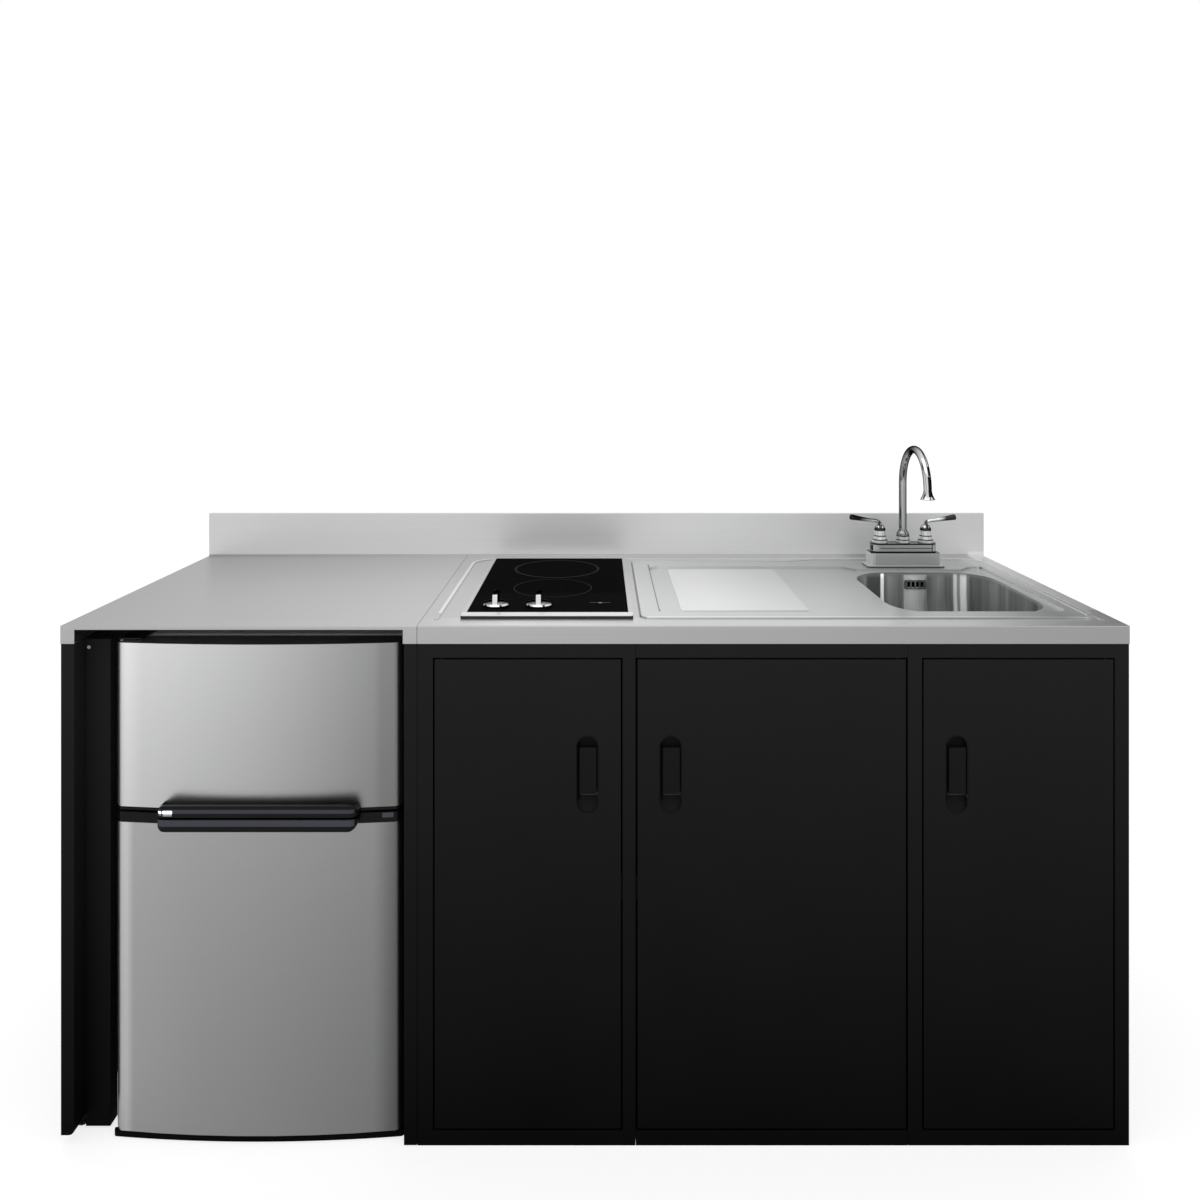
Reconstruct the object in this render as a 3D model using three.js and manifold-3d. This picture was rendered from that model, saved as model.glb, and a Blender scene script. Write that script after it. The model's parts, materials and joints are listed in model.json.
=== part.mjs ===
// A compact kitchen unit: a fridge bay and three steel cabinets under two folded steel worktops,
// with a two-ring hob, an inset sink, a centreset tap and a two-door fridge in the bay.
// Millimetres, +Z up. The origin is on the floor under the middle of the unit, and the front faces -Y.

import * as THREE from "three";
import { mergeVertices } from "three/addons/utils/BufferGeometryUtils.js";
import Module from "manifold-3d";

const wasm = await Module();
wasm.setup();

// ---------- The unit as a whole ----------
const UNIT_W = 1829;
const HOB_CABINET_W = 374;
const SINK_CABINET_W = 379;
const TOP_Z = 890; // worktop surface above the floor
const TOP_D = 610; // worktop from its front edge to the splash
const SPLASH_H = 100;
const SPLASH_T = 12;
const APRON_H = 31;
const SHEET = 1.5; // folded steel sheet
const GRIP_PROUD = 14; // the fridge's grips in front of the worktop's edge

// ---------- Clearances ----------
const SEAT = 0.3; // between pieces that rest on each other
const SEAM = 0.6; // between neighbouring modules
const CUT = 2; // how far a cutting solid runs past what it cuts

// ---------- Worktops ----------
const WORKTOP_FLANGE_W = 20; // turned in under the apron
const LIP_H = 7; // the left worktop's front lip over the fridge
const LIP_LEG_W = 24;
const LIP_RETURN_D = 12;
const STAY = { width: 60, foot: 30, setback: 404 }; // steadies the fridge under the worktop
const BEAD_W = 8; // pressed bead round the right worktop
const BEAD_H = 1.4;
const BEAD_SIDE = 25.5;
const BEAD_FRONT = 40;
const BEAD_REAR = 43;
const BEAD_R = 50;

// ---------- Cabinets and their doors ----------
const FACE_SETBACK = 2; // cabinet faces behind the worktop's edge
const REAR_SETBACK = 2;
const FLOOR_Z = 25;
const SILL_Z = 26;
const HEAD_RAIL_H = 24;
const HOB_STILES = [26.5, 22];
const SINK_STILES = [24, 24];
const RETURN_D = 40; // face frame turned back round the doorway
const FLANGE_W = 22;
const FOOT_FLANGE_W = 16;
const SERVICE_HOLE = { width: 200, height: 240, z: 500, r: 12 };
const DOOR_T = 18;
const DOOR_GAP = 3;
const DOOR_FLANGE_W = 14;
const SIDE_RELIEF = 2; // behind a door that covers the cabinet's sides
const PIVOT_FROM_EDGE = 12;
const PIVOT_FROM_FACE = 6;
const PIN_R = 3;
const PIN_LENGTH = 9;
const PIN_CLEARANCE = 0.4;
const CATCH = { width: 14, depth: 22, height: 44 };
const SHELF_Z = 430;
const SHELF_SETBACK = 60;
const SHELF_EDGE_H = 25;

// ---------- Recessed pulls ----------
const PULL_W = 38.6;
const PULL_H = 134;
const PULL_DEPTH = 15;
const PULL_WALL = 1.6;
const PULL_Z = 635;
const PULL_FROM_EDGE = 57;
const PLATE_W = 30;
const PLATE_H = 79;
const PLATE_RISE = 6; // plate's middle above the cup's middle
const PLATE_T = 3;
const POST_W = 10;
const SCOOP_H = 31;

// ---------- Hob ----------
const HOB_LEFT_MARGIN = 67.5; // from the bay
const HOB_RIGHT_MARGIN = 2.5; // from the first seam
const HOB_FRONT_MARGIN = 46;
const HOB_REAR_MARGIN = 57;
const TRIM_H = 6;
const TRIM_SIDE = 8;
const TRIM_FRONT = 21;
const TRIM_REAR = 4;
const TRIM_LEDGE = 6;
const GLASS_T = 4;
const PAN_DEPTH = 76;
const PAN_WALL = 1.2;
const CUTOUT_MARGIN = 3;
const CONTROL_STRIP = 133.5; // from the hob's front edge to the front ring
const RING_GAP = 13.5;
const RING_REAR_MARGIN = 25;
const FRONT_RING_R = 76.5;
const DISH_RIM = 3;
const DISH_H = 28;
const DISH_WALL = 4;
const KNOB_FRONT = 73;
const KNOB_LEFT = 54.5; // first knob from the hob's left edge
const KNOB_PITCH = 79;
const KNOB_R = 25;
const KNOB_SKIRT_H = 6;
const KNOB_H = 23;
const KNOB_BLADE_T = 9;
const SPINDLE_R = 3;
const SPINDLE_DEPTH = 8; // into the regulator
const REGULATOR = { width: 40, depth: 36, height: 34 };
const INDICATOR_R = 4;
const INDICATOR_RIGHT = 58;
const INDICATOR_FRONT = 87;

// ---------- Sink ----------
const SINK_LEFT_GAP = 9.5; // right of the first seam
const SINK_TO_BEAD = 3;
const SINK_SWELL = 20; // the sink's back edge swells towards the splash beside the tap
const SWELL_FROM = 350; // from the sink's left edge
const SWELL_RUN = 75;
const SINK_R = 22;
const DECK_T = 1.2;
const DECK_RIM_W = 7;
const DECK_RIM_H = 2.2;
const WELL = { left: 38, right: 27, front: 45, rear: 57, r: 20, drop: 4 };
// The well's back edge passes in front of the tap.
const TAP_LEDGE = { half: 104, blend: 46, depth: 32 };
const DRAINER = { left: 78, width: 234, front: 61, rear: 75, r: 7, height: 1.2 };
const BOWL_W = 292;
const BOWL_RIGHT = 41.5;
const BOWL_FRONT = 50;
const BOWL_REAR = 102;
const BOWL_R = 78;
const BOWL_DEPTH = 155;
const BOWL_STRAIGHT = 46; // upright part of its walls
const BOWL_TAPER = 8;
const BOWL_FILLET = 22;
const OVERFLOW = { width: 48, height: 20, drop: 26, t: 1.5, slots: 4, slotW: 6, slotH: 14 };
const SUPPORT_RIM = 20; // worktop left under the sink's edge
const DRAIN_R = 45.5;
const WASTE_FLANGE_R = 57;
const WASTE_R = 44.3;
const WASTE_WALL = 2.8;
const WASTE_DEPTH = 42;
const TAIL_R = 19;
const TAIL_WALL = 2;
const TAIL_LENGTH = 35;
const BASKET_R = 37;
const TRAP_WALL = 2.5;
const TRAP_SLIP = 1.2; // the tail slides up into the trap
const TRAP_BEND = 45;
const TRAP_DROP = 80;
const TRAP_RISE = 40;
const TRAP_END_GAP = 24; // from the cabinet's back

// ---------- Tap ----------
const TAP_FROM_REAR = 45; // its middle from the sink's back edge
const TAP_OFFSET = -8.5; // its middle from the bowl's middle
const HUB_SPREAD = 102;
const TAP_PLATE = { width: 172, depth: 54, height: 3 };
const TAP_BLOCK = { width: 156, depth: 44, height: 28, taper: 3 };
const TAP_BRIDGE = { width: 145, depth: 36, height: 20 };
const BONNET_R = 15;
const BONNET_H = 27;
const SPOUT_HUB_R = 15;
const SPOUT_HUB_H = 14;
const SPOUT_R = 8.25;
const SPOUT_BEND = 80;
const SPOUT_RISE = 118;
const AERATOR_H = 17;
const AERATOR_R = 15;
const LEVER_REACH = 65;
const LEVER_RISE = 24;
const SHANK_R = 10;
const SHANK_LENGTH = 48;
const SHANK_HOLE_R = 14;

// ---------- Bay ----------
const BAY_FLANGE_W = 22.5;
const PANEL_FOOT_Z = 17;
const PANEL_RETURN_D = 46;
const PANEL_FOOT_R = 9;
const FILLER_SETBACK = 36;
const FILLER_FOOT_Z = 4;
const FILLER_RETURN_D = 25;
const FILLER_LIP_D = 9;
const FILLER_W = 43.4;
const FILLER_TO_FRIDGE = 16; // keeps the doors' hinge corners free
const GLIDE_R = 10;
const GLIDE_INSET = 50;
const REAR_RAIL_H = 80;

// ---------- Fridge ----------
const FRIDGE_W = 500;
const FRIDGE_TOP_Z = 856;
const FRIDGE_GAP = 5; // from the bay's right flange
const FRIDGE_DOOR_SETBACK = 6;
const FRIDGE_DOOR_T = 45;
const FRIDGE_DOOR_BULGE = 12;
const FRIDGE_DOOR_R = 18;
const FRIDGE_BODY_D = 455;
const FRIDGE_WALL = 40;
const FRIDGE_BACK_WALL = 45;
const FRIDGE_BASE_H = 9;
const BASE_FORWARD = 45;
const GASKET_T = 10;
const GASKET_W = 12;
const GASKET_INSET = 22;
const FRIDGE_PIVOT_X = 18;
const FRIDGE_PIVOT_Y = 18; // ahead of the door's rear face
const DOOR_SEAM_Z = 566;
const DOOR_SEAM_GAP = 4;
const CAP_H = { upper: 5, lower: 17.5 };
const HINGE_PLATE_T = 2.4;
const HINGE_PLATE_W = 40;
const MULLION = { top: 32, bottom: 32 }; // about the seam
const DYKE_GAP = 10; // from the compartment's walls
const DYKE_WALL = 8;
const DYKE_DEPTH = 24;
const GRIP_W = 344;
const GRIP_SHIFT = 7; // from the doors' middle towards their free edge
const GRIP_RISE = 20; // each half, from the seam
const GRIP_END_R = 17; // the pair's corners, seen from the front
const GRIP_WALL = 6;
const GRIP_R = 15;
const STEP_DEPTH = 205; // the raised floor over the compressor
const STEP_Z = 229;
const RECESS_Z = 190;
const SHELF_T = 4;
const SHELF_RIB = { width: 8, height: 8 };
const LOWER_SHELF_Z = 240;
const UPPER_SHELF_Z = 390;
const INNER_CLEAR = 72; // shelves and drawer behind the doors' racks
const DRAWER_H = 125;
const DRAWER_SIDE = 11;
const DRAWER_WALL = 2.5;
const RACK = { z: 84, height: 58, depth: 56, wall: 2.5 };
const DIAL_R = 14;
const DIAL_T = 12;
const DIAL_Z = 490;
const COMPRESSOR_R = 56;
const COMPRESSOR_H = 128;
const COIL = { passes: 5, wire: 2.6, side: 45, top: 60, bottom: 215, strapW: 14, strapT: 3 };

// ---------- Places that follow from the sizes ----------
const LEFT = -UNIT_W / 2;
const RIGHT = UNIT_W / 2;
const BAY_W = 2 * BAY_FLANGE_W + SEAT + FILLER_W + FILLER_TO_FRIDGE + FRIDGE_W + FRIDGE_GAP + SEAM / 2;
const BAY_RIGHT = LEFT + BAY_W;
const FIRST_SEAM = BAY_RIGHT + HOB_CABINET_W;
const SECOND_SEAM = RIGHT - SINK_CABINET_W;
const FRONT = GRIP_PROUD - (GRIP_PROUD + TOP_D + SPLASH_T) / 2;
const SPLASH_FACE = FRONT + TOP_D;
const BACK = SPLASH_FACE + SPLASH_T;
const FACE = FRONT + FACE_SETBACK;
const HOB_D = TOP_D - HOB_FRONT_MARGIN - HOB_REAR_MARGIN;
const REAR_RING_R = (HOB_D - CONTROL_STRIP - RING_GAP - RING_REAR_MARGIN) / 2 - FRONT_RING_R;
const CARCASS_D = BACK - REAR_SETBACK - FACE;
const CARCASS_TOP = TOP_Z - APRON_H - SEAT;
const DOOR_HEAD = CARCASS_TOP - HEAD_RAIL_H;
const PIN_HOLE_R = PIN_R + PIN_CLEARANCE;

// ---------- Finishes ----------
const FINISHES = {
  brushedSteel: { color: 0xb9babb, roughness: 0.36, metalness: 1 },
  sinkSteel: { color: 0xc3c4c5, roughness: 0.28, metalness: 1 },
  chrome: { color: 0xd6d8da, roughness: 0.08, metalness: 1 },
  blackPaint: { color: 0x17181a, roughness: 0.55, metalness: 0.1 },
  zincSteel: { color: 0x9c9fa1, roughness: 0.5, metalness: 0.9 },
  blackGlass: { color: 0x060607, roughness: 0.06, metalness: 0 },
  greyPlastic: { color: 0xc8c9ca, roughness: 0.4, metalness: 0 },
  blackPlastic: { color: 0x1f2023, roughness: 0.4, metalness: 0 },
  whiteLiner: { color: 0xe9ebec, roughness: 0.45, metalness: 0 },
  clearPlastic: { color: 0xd9e2e6, roughness: 0.2, metalness: 0 },
  fridgeSteel: { color: 0xa9abad, roughness: 0.42, metalness: 0.9 },
  rubber: { color: 0x2b2c2e, roughness: 0.8, metalness: 0 },
  ceramic: { color: 0x4a4643, roughness: 0.85, metalness: 0 },
  amberLens: { color: 0x8a3a1c, roughness: 0.2, metalness: 0 },
};

const finishes = {};
for (const [name, look] of Object.entries(FINISHES)) {
  finishes[name] = () => new THREE.MeshStandardMaterial(look);
}

// ---------- Solids ----------
const X = new THREE.Vector3(1, 0, 0);
const Y = new THREE.Vector3(0, 1, 0);
const Z = new THREE.Vector3(0, 0, 1);

// A closed geometry as a solid. A skin that is inside out is turned.
function solidOf(geometry) {
  const bare = geometry.clone();
  bare.deleteAttribute("normal");
  bare.deleteAttribute("uv");
  const merged = mergeVertices(bare, 1e-4);
  const faces = [];
  const corners = merged.index.array;
  for (let i = 0; i < corners.length; i += 3) {
    const [a, b, c] = [corners[i], corners[i + 1], corners[i + 2]];
    if (a !== b && b !== c && c !== a) faces.push([a, b, c]);
  }
  const make = (list) =>
    new wasm.Manifold(
      new wasm.Mesh({
        numProp: 3,
        vertProperties: merged.attributes.position.array,
        triVerts: new Uint32Array(list.flat()),
      }),
    );
  const solid = make(faces);
  return solid.volume() < 0 ? make(faces.map(([a, b, c]) => [a, c, b])) : solid;
}

function geometryOf(solid) {
  const mesh = solid.getMesh();
  const positions = new Float32Array(mesh.numVert * 3);
  for (let i = 0; i < mesh.numVert; i++) {
    for (let k = 0; k < 3; k++) positions[i * 3 + k] = mesh.vertProperties[i * mesh.numProp + k];
  }
  const geometry = new THREE.BufferGeometry();
  geometry.setAttribute("position", new THREE.BufferAttribute(positions, 3));
  geometry.setIndex(new THREE.BufferAttribute(mesh.triVerts, 1));
  geometry.computeVertexNormals();
  return geometry;
}

// A box from three [low, high] spans.
function box([x0, x1], [y0, y1], [z0, z1]) {
  const geometry = new THREE.BoxGeometry(x1 - x0, y1 - y0, z1 - z0);
  return solidOf(geometry.translate((x0 + x1) / 2, (y0 + y1) / 2, (z0 + z1) / 2));
}

const about = (middle, width) => [middle - width / 2, middle + width / 2];
const grown = ([low, high], by) => [low - by, high + by];

// The frame that a push along each axis works in: the outline's two axes, then the push.
const PUSH_FRAMES = {
  x: new THREE.Matrix4().makeBasis(Y, Z, X),
  y: new THREE.Matrix4().makeBasis(X, Z, Y.clone().negate()),
  z: new THREE.Matrix4().makeBasis(X, Y, Z),
};

// An outline pushed along x, y or z. It is drawn in (y, z), (x, z) or (x, y).
function push(outline, axis, [from, to], segments = 6) {
  const points = [];
  for (const p of outline.getPoints(segments)) {
    const near = points.some((q) => q.distanceTo(p) < 1e-3);
    if (!near) points.push(p);
  }
  const shape = new THREE.Shape(points);
  const geometry = new THREE.ExtrudeGeometry(shape, { depth: to - from, bevelEnabled: false });
  geometry.applyMatrix4(PUSH_FRAMES[axis]);
  if (axis === "x") geometry.translate(from, 0, 0);
  if (axis === "y") geometry.translate(0, to, 0);
  if (axis === "z") geometry.translate(0, 0, from);
  return solidOf(geometry);
}

function roundedRect([u0, u1], [v0, v1], r) {
  const outline = new THREE.Shape();
  outline.absarc(u1 - r, v0 + r, r, -Math.PI / 2, 0);
  outline.absarc(u1 - r, v1 - r, r, 0, Math.PI / 2);
  outline.absarc(u0 + r, v1 - r, r, Math.PI / 2, Math.PI);
  outline.absarc(u0 + r, v0 + r, r, Math.PI, 1.5 * Math.PI);
  return outline;
}

function polygon(...points) {
  return new THREE.Shape(points.map(([u, v]) => new THREE.Vector2(u, v)));
}

// A profile of [radius, height] points turned about +Z.
function turned(profile, segments = 24) {
  const points = profile.map(([r, z]) => new THREE.Vector2(r, z));
  return solidOf(new THREE.LatheGeometry(points, segments).rotateX(Math.PI / 2));
}

function rod(radius, [z0, z1], segments = 16) {
  return turned([[0, z0], [radius, z0], [radius, z1], [0, z1]], segments);
}

// A skin through rings of points with one count, closed by a flat cap at each end.
function loft(rings) {
  const count = rings[0].length;
  const positions = rings.flat().flatMap((p) => [p.x, p.y, p.z]);
  const faces = [];
  for (let ring = 0; ring + 1 < rings.length; ring++) {
    for (let i = 0; i < count; i++) {
      const a = ring * count + i;
      const b = ring * count + ((i + 1) % count);
      faces.push(a, b, a + count, b, b + count, a + count);
    }
  }
  const last = (rings.length - 1) * count;
  for (let i = 1; i + 1 < count; i++) {
    faces.push(0, i + 1, i);
    faces.push(last, last + i, last + i + 1);
  }
  const geometry = new THREE.BufferGeometry();
  geometry.setAttribute("position", new THREE.Float32BufferAttribute(positions, 3));
  geometry.setIndex(faces);
  return solidOf(geometry);
}

// A level ring in the form of a rounded rectangle.
function levelRing([x0, x1], [y0, y1], r, z, cornerSteps = 6) {
  const corners = [
    [x1 - r, y0 + r, -Math.PI / 2],
    [x1 - r, y1 - r, 0],
    [x0 + r, y1 - r, Math.PI / 2],
    [x0 + r, y0 + r, Math.PI],
  ];
  return corners.flatMap(([cx, cy, start]) =>
    Array.from({ length: cornerSteps + 1 }, (_, i) => {
      const angle = start + (i / cornerSteps) * (Math.PI / 2);
      return new THREE.Vector3(cx + r * Math.cos(angle), cy + r * Math.sin(angle), z);
    }),
  );
}

// A route in one plane, made of straight runs and round turns. A positive turn leans towards side.
class BentRoute extends THREE.Curve {
  constructor(start, heading, side, legs) {
    super();
    this.start = start;
    this.heading = heading;
    this.side = side;
    this.legs = legs.map((leg) => ({ ...leg, length: leg.run ?? Math.abs(leg.turn) * leg.radius }));
    this.total = this.legs.reduce((sum, leg) => sum + leg.length, 0);
  }

  getPoint(t, target = new THREE.Vector3()) {
    let left = t * this.total;
    let [u, v, angle] = [0, 0, 0];
    for (const leg of this.legs) {
      const part = Math.min(left, leg.length);
      if (leg.run) {
        u += part * Math.cos(angle);
        v += part * Math.sin(angle);
      } else {
        const sense = Math.sign(leg.turn);
        const end = angle + (sense * part) / leg.radius;
        u += sense * leg.radius * (Math.sin(end) - Math.sin(angle));
        v -= sense * leg.radius * (Math.cos(end) - Math.cos(angle));
        angle = end;
      }
      left -= part;
      if (left <= 0) break;
    }
    return target.copy(this.start).addScaledVector(this.heading, u).addScaledVector(this.side, v);
  }
}

function circle(radius, sides) {
  const points = Array.from({ length: sides }, (_, i) => {
    const angle = (i / sides) * 2 * Math.PI;
    return new THREE.Vector2(radius * Math.cos(angle), radius * Math.sin(angle));
  });
  return new THREE.Shape(points);
}

function tube(route, radius, { sides = 12, steps = 30, bore = 0 } = {}) {
  const section = circle(radius, sides);
  if (bore) section.holes.push(new THREE.Path(circle(bore, sides).getPoints().slice(0, sides)));
  return solidOf(
    new THREE.ExtrudeGeometry(section, { steps, extrudePath: route, bevelEnabled: false }),
  );
}

const joined = (...solids) => solids.reduce((sum, solid) => sum.add(solid));
const cut = (solid, ...tools) => tools.reduce((rest, tool) => rest.subtract(tool), solid);

// ---------- The scene graph ----------
const unit = new THREE.Group();

function groupAt(x, y, z, parent = unit) {
  const group = new THREE.Group();
  group.position.set(x, y, z);
  parent.add(group);
  return group;
}

function addNode(name, solid, finish, parent = unit) {
  const mesh = new THREE.Mesh(geometryOf(solid), finishes[finish]());
  mesh.name = name;
  parent.add(mesh);
  return mesh;
}

// ---------- Cabinets ----------
// The carcass: sheet walls, floor and back, a turned-in face frame, and flanges for worktop and floor.
// With no stiles, the door covers the cabinet's sides.
function carcass(width, stiles) {
  const inner = grown([0, width], -SHEET);
  const through = grown([0, CARCASS_D], -SHEET);
  const doorway = {
    x: stiles ? [stiles[0], width - stiles[1]] : grown([0, width], CUT),
    z: [SILL_Z, DOOR_HEAD],
  };
  const head = box(grown(doorway.x, SHEET), [0, RETURN_D], [DOOR_HEAD, DOOR_HEAD + SHEET]);
  const frame = stiles ? box(grown(doorway.x, SHEET), [0, RETURN_D], grown(doorway.z, SHEET)) : head;
  const room = box(inner, through, [FLOOR_Z, CARCASS_TOP - SHEET]).subtract(frame);
  const reach = stiles ? RETURN_D + CUT : DOOR_T + SIDE_RELIEF;
  return cut(
    box([0, width], [0, CARCASS_D], [0, CARCASS_TOP]),
    room,
    box(doorway.x, [-CUT, reach], doorway.z),
    box(
      grown(inner, -SHEET),
      grown([0, CARCASS_D], -FLANGE_W),
      grown([CARCASS_TOP - SHEET, CARCASS_TOP], CUT),
    ),
    box(inner, through, [SHEET, FLOOR_Z - SHEET]),
    box(grown([0, width], -FOOT_FLANGE_W), grown([0, CARCASS_D], -FOOT_FLANGE_W), [-CUT, SHEET + CUT]),
  );
}

// The door's span between its gaps, in the cabinet's frame.
function doorSpan(width, stiles) {
  const [left, right] = stiles ?? [0, 0];
  return [left + DOOR_GAP, width - right - DOOR_GAP];
}

// A folded door pan about its pivot axis. free is 1 where the free edge lies towards +X, and -1 towards
// -X.
function doorPan(width, free) {
  const across = [-PIVOT_FROM_EDGE, width - PIVOT_FROM_EDGE].map((x) => x * free).sort((a, b) => a - b);
  const through = [-PIVOT_FROM_FACE, DOOR_T - PIVOT_FROM_FACE];
  const upright = grown([SILL_Z, DOOR_HEAD], -DOOR_GAP);
  const skin = through[0] + SHEET;
  return cut(
    box(across, through, upright),
    box(grown(across, -SHEET), [skin, through[1] - SHEET], grown(upright, -SHEET)),
    box(grown(across, -DOOR_FLANGE_W), [skin, through[1] + CUT], grown(upright, -DOOR_FLANGE_W)),
    rod(PIN_HOLE_R, grown(upright, CUT)),
  );
}

function pullOutline(shrink) {
  return roundedRect(
    grown([-PULL_W / 2, PULL_W / 2], -shrink),
    grown([-PULL_H / 2, PULL_H / 2], -shrink),
    PULL_W / 2 - shrink,
  );
}

// The recessed pull about its own middle on the door's face: a cup with a flush grip plate on two
// posts.
function pullCup() {
  const floor = PULL_DEPTH - PULL_WALL;
  const depths = polygon(
    [-CUT, PULL_H / 2],
    [floor, PULL_H / 2],
    [floor, SCOOP_H - PULL_H / 2],
    [PULL_WALL, PULL_WALL * 2 - PULL_H / 2],
    [-CUT, PULL_WALL * 2 - PULL_H / 2],
  );
  const hollow = push(pullOutline(SEAT + PULL_WALL), "y", [-CUT, floor]);
  const cup = push(pullOutline(SEAT), "y", [0, PULL_DEPTH]);
  const plate = push(
    roundedRect(about(0, PLATE_W), about(PLATE_RISE, PLATE_H), 2),
    "y",
    [0, PLATE_T],
    3,
  );
  const posts = [-1, 1].map((side) =>
    box(
      about(0, POST_W),
      [PLATE_T / 2, floor + PULL_WALL / 2],
      about(PLATE_RISE + (side * PLATE_H) / 4, POST_W),
    ),
  );
  return joined(
    cup.subtract(hollow.intersect(push(depths, "x", about(0, PULL_W + CUT)))),
    plate,
    ...posts,
  );
}

function addCabinet({ name, left, width, stiles, hinge, extra }) {
  const clear = width - SEAM;
  const group = groupAt(left + SEAM / 2, FACE, 0);
  const [doorLeft, doorRight] = doorSpan(clear, stiles);
  const free = hinge === "left" ? 1 : -1;
  const pivotX = hinge === "left" ? doorLeft + PIVOT_FROM_EDGE : doorRight - PIVOT_FROM_EDGE;
  const pins = [
    [FLOOR_Z - SHEET / 2, SILL_Z + PIN_LENGTH],
    [DOOR_HEAD - PIN_LENGTH, DOOR_HEAD + SHEET / 2],
  ].map((span) => rod(PIN_R, span).translate([pivotX, PIVOT_FROM_FACE, 0]));
  let body = joined(carcass(clear, stiles), ...pins);
  if (extra) body = extra(body, clear);
  addNode(name + "_cabinet", body, "blackPaint", group);

  const doorWidth = doorRight - doorLeft;
  const doorGroup = groupAt(pivotX, PIVOT_FROM_FACE, 0, group);
  const pullX = free * (doorWidth - PIVOT_FROM_EDGE - PULL_FROM_EDGE);
  const hole = push(pullOutline(0), "y", about(0, CUT * 4)).translate(
    [pullX, -PIVOT_FROM_FACE, PULL_Z],
  );
  addNode(name + "_door", doorPan(doorWidth, free).subtract(hole), "blackPaint", doorGroup);
  const pullGroup = groupAt(pullX, -PIVOT_FROM_FACE, PULL_Z, doorGroup);
  addNode(name + "_door_pull", pullCup(), "blackPlastic", pullGroup);

  const jamb = stiles ? 0 : SHEET;
  const [leftStile, rightStile] = stiles ?? [0, 0];
  const besideRight = clear - rightStile - jamb - SEAT - CATCH.width;
  const catchX = hinge === "left" ? besideRight : leftStile + jamb + SEAT;
  const catchBody = joined(
    box(
      [0, CATCH.width],
      [DOOR_T + SEAT + 2, DOOR_T + CATCH.depth],
      about((SILL_Z + DOOR_HEAD) / 2, CATCH.height),
    ),
    box(
      [3, CATCH.width - 3],
      [DOOR_T + SEAT, DOOR_T + 6],
      about((SILL_Z + DOOR_HEAD) / 2, CATCH.height - 12),
    ),
  );
  addNode(name + "_door_catch", catchBody, "greyPlastic", groupAt(catchX, 0, 0, group));
  return group;
}

// An opening in the back for the water and the waste pipes.
function withServiceHole(body, width) {
  const { width: w, height: h, z, r } = SERVICE_HOLE;
  const outline = roundedRect(about(width / 2, w), about(z, h), r);
  return body.subtract(push(outline, "y", [CARCASS_D - SHEET - CUT, CARCASS_D + CUT]));
}

function addCabinets() {
  addCabinet({ name: "hob", left: BAY_RIGHT, width: HOB_CABINET_W, stiles: HOB_STILES, hinge: "left" });
  const storageWidth = SECOND_SEAM - FIRST_SEAM;
  const storage = addCabinet(
    { name: "storage", left: FIRST_SEAM, width: storageWidth, stiles: null, hinge: "right" },
  );
  addCabinet({
    name: "sink",
    left: SECOND_SEAM,
    width: SINK_CABINET_W,
    stiles: SINK_STILES,
    hinge: "right",
    extra: withServiceHole,
  });
  addNode("storage_shelf", shelfTray(storageWidth - SEAM), "blackPaint", storage);
}

// A folded shelf that hangs by its turned-down edges between the cabinet's sides.
function shelfTray(width) {
  const across = [SHEET + SEAT, width - SHEET - SEAT];
  const through = [SHELF_SETBACK, CARCASS_D - SHEET - SEAT];
  return cut(
    box(across, through, [SHELF_Z - SHELF_EDGE_H, SHELF_Z]),
    box(grown(across, -SHEET), grown(through, -SHEET), [SHELF_Z - SHELF_EDGE_H - CUT, SHELF_Z - SHEET]),
  );
}

// ---------- Worktops ----------
// A folded top's profile, with its apron and its splash, or the hollow inside when it is inset.
function worktopProfile(inset) {
  return polygon(
    [FRONT + inset, TOP_Z - APRON_H + inset],
    [BACK - inset, TOP_Z - APRON_H + inset],
    [BACK - inset, TOP_Z + SPLASH_H - inset],
    [SPLASH_FACE + inset, TOP_Z + SPLASH_H - inset],
    [SPLASH_FACE + inset, TOP_Z - inset],
    [FRONT + inset, TOP_Z - inset],
  );
}

function worktop(left, right) {
  return cut(
    push(worktopProfile(0), "x", [left, right]),
    push(worktopProfile(SHEET), "x", grown([left, right], -SHEET)),
    box(
      grown([left, right], -WORKTOP_FLANGE_W),
      grown([FRONT, BACK], -WORKTOP_FLANGE_W),
      grown([TOP_Z - APRON_H, TOP_Z - APRON_H + SHEET], CUT),
    ),
  );
}

// Over the fridge the apron shrinks to a low lip between two legs.
function leftWorktop() {
  const [left, right] = [LEFT, BAY_RIGHT - SEAM / 2];
  const between = [left + LIP_LEG_W, right - LIP_LEG_W];
  const underLip = TOP_Z - LIP_H;
  const [stayY, stayZ] = [FRONT + STAY.setback, FRIDGE_TOP_Z + SEAT];
  const stay = polygon(
    [stayY, stayZ],
    [stayY + STAY.foot, stayZ],
    [stayY + STAY.foot, stayZ + SHEET],
    [stayY + SHEET, stayZ + SHEET],
    [stayY + SHEET, TOP_Z - SHEET / 2],
    [stayY, TOP_Z - SHEET / 2],
  );
  return worktop(left, right)
    .add(push(stay, "x", about(FRIDGE_LEFT + FRIDGE_W / 2, STAY.width)))
    .add(
      box(
        grown(between, -1),
        [FRONT + SHEET / 2, FRONT + LIP_RETURN_D],
        [underLip - CUT, underLip + SHEET],
      ),
    )
    .subtract(
      box(between, [FRONT - CUT, FRONT + WORKTOP_FLANGE_W + CUT], [TOP_Z - APRON_H - CUT, underLip]),
    );
}

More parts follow.
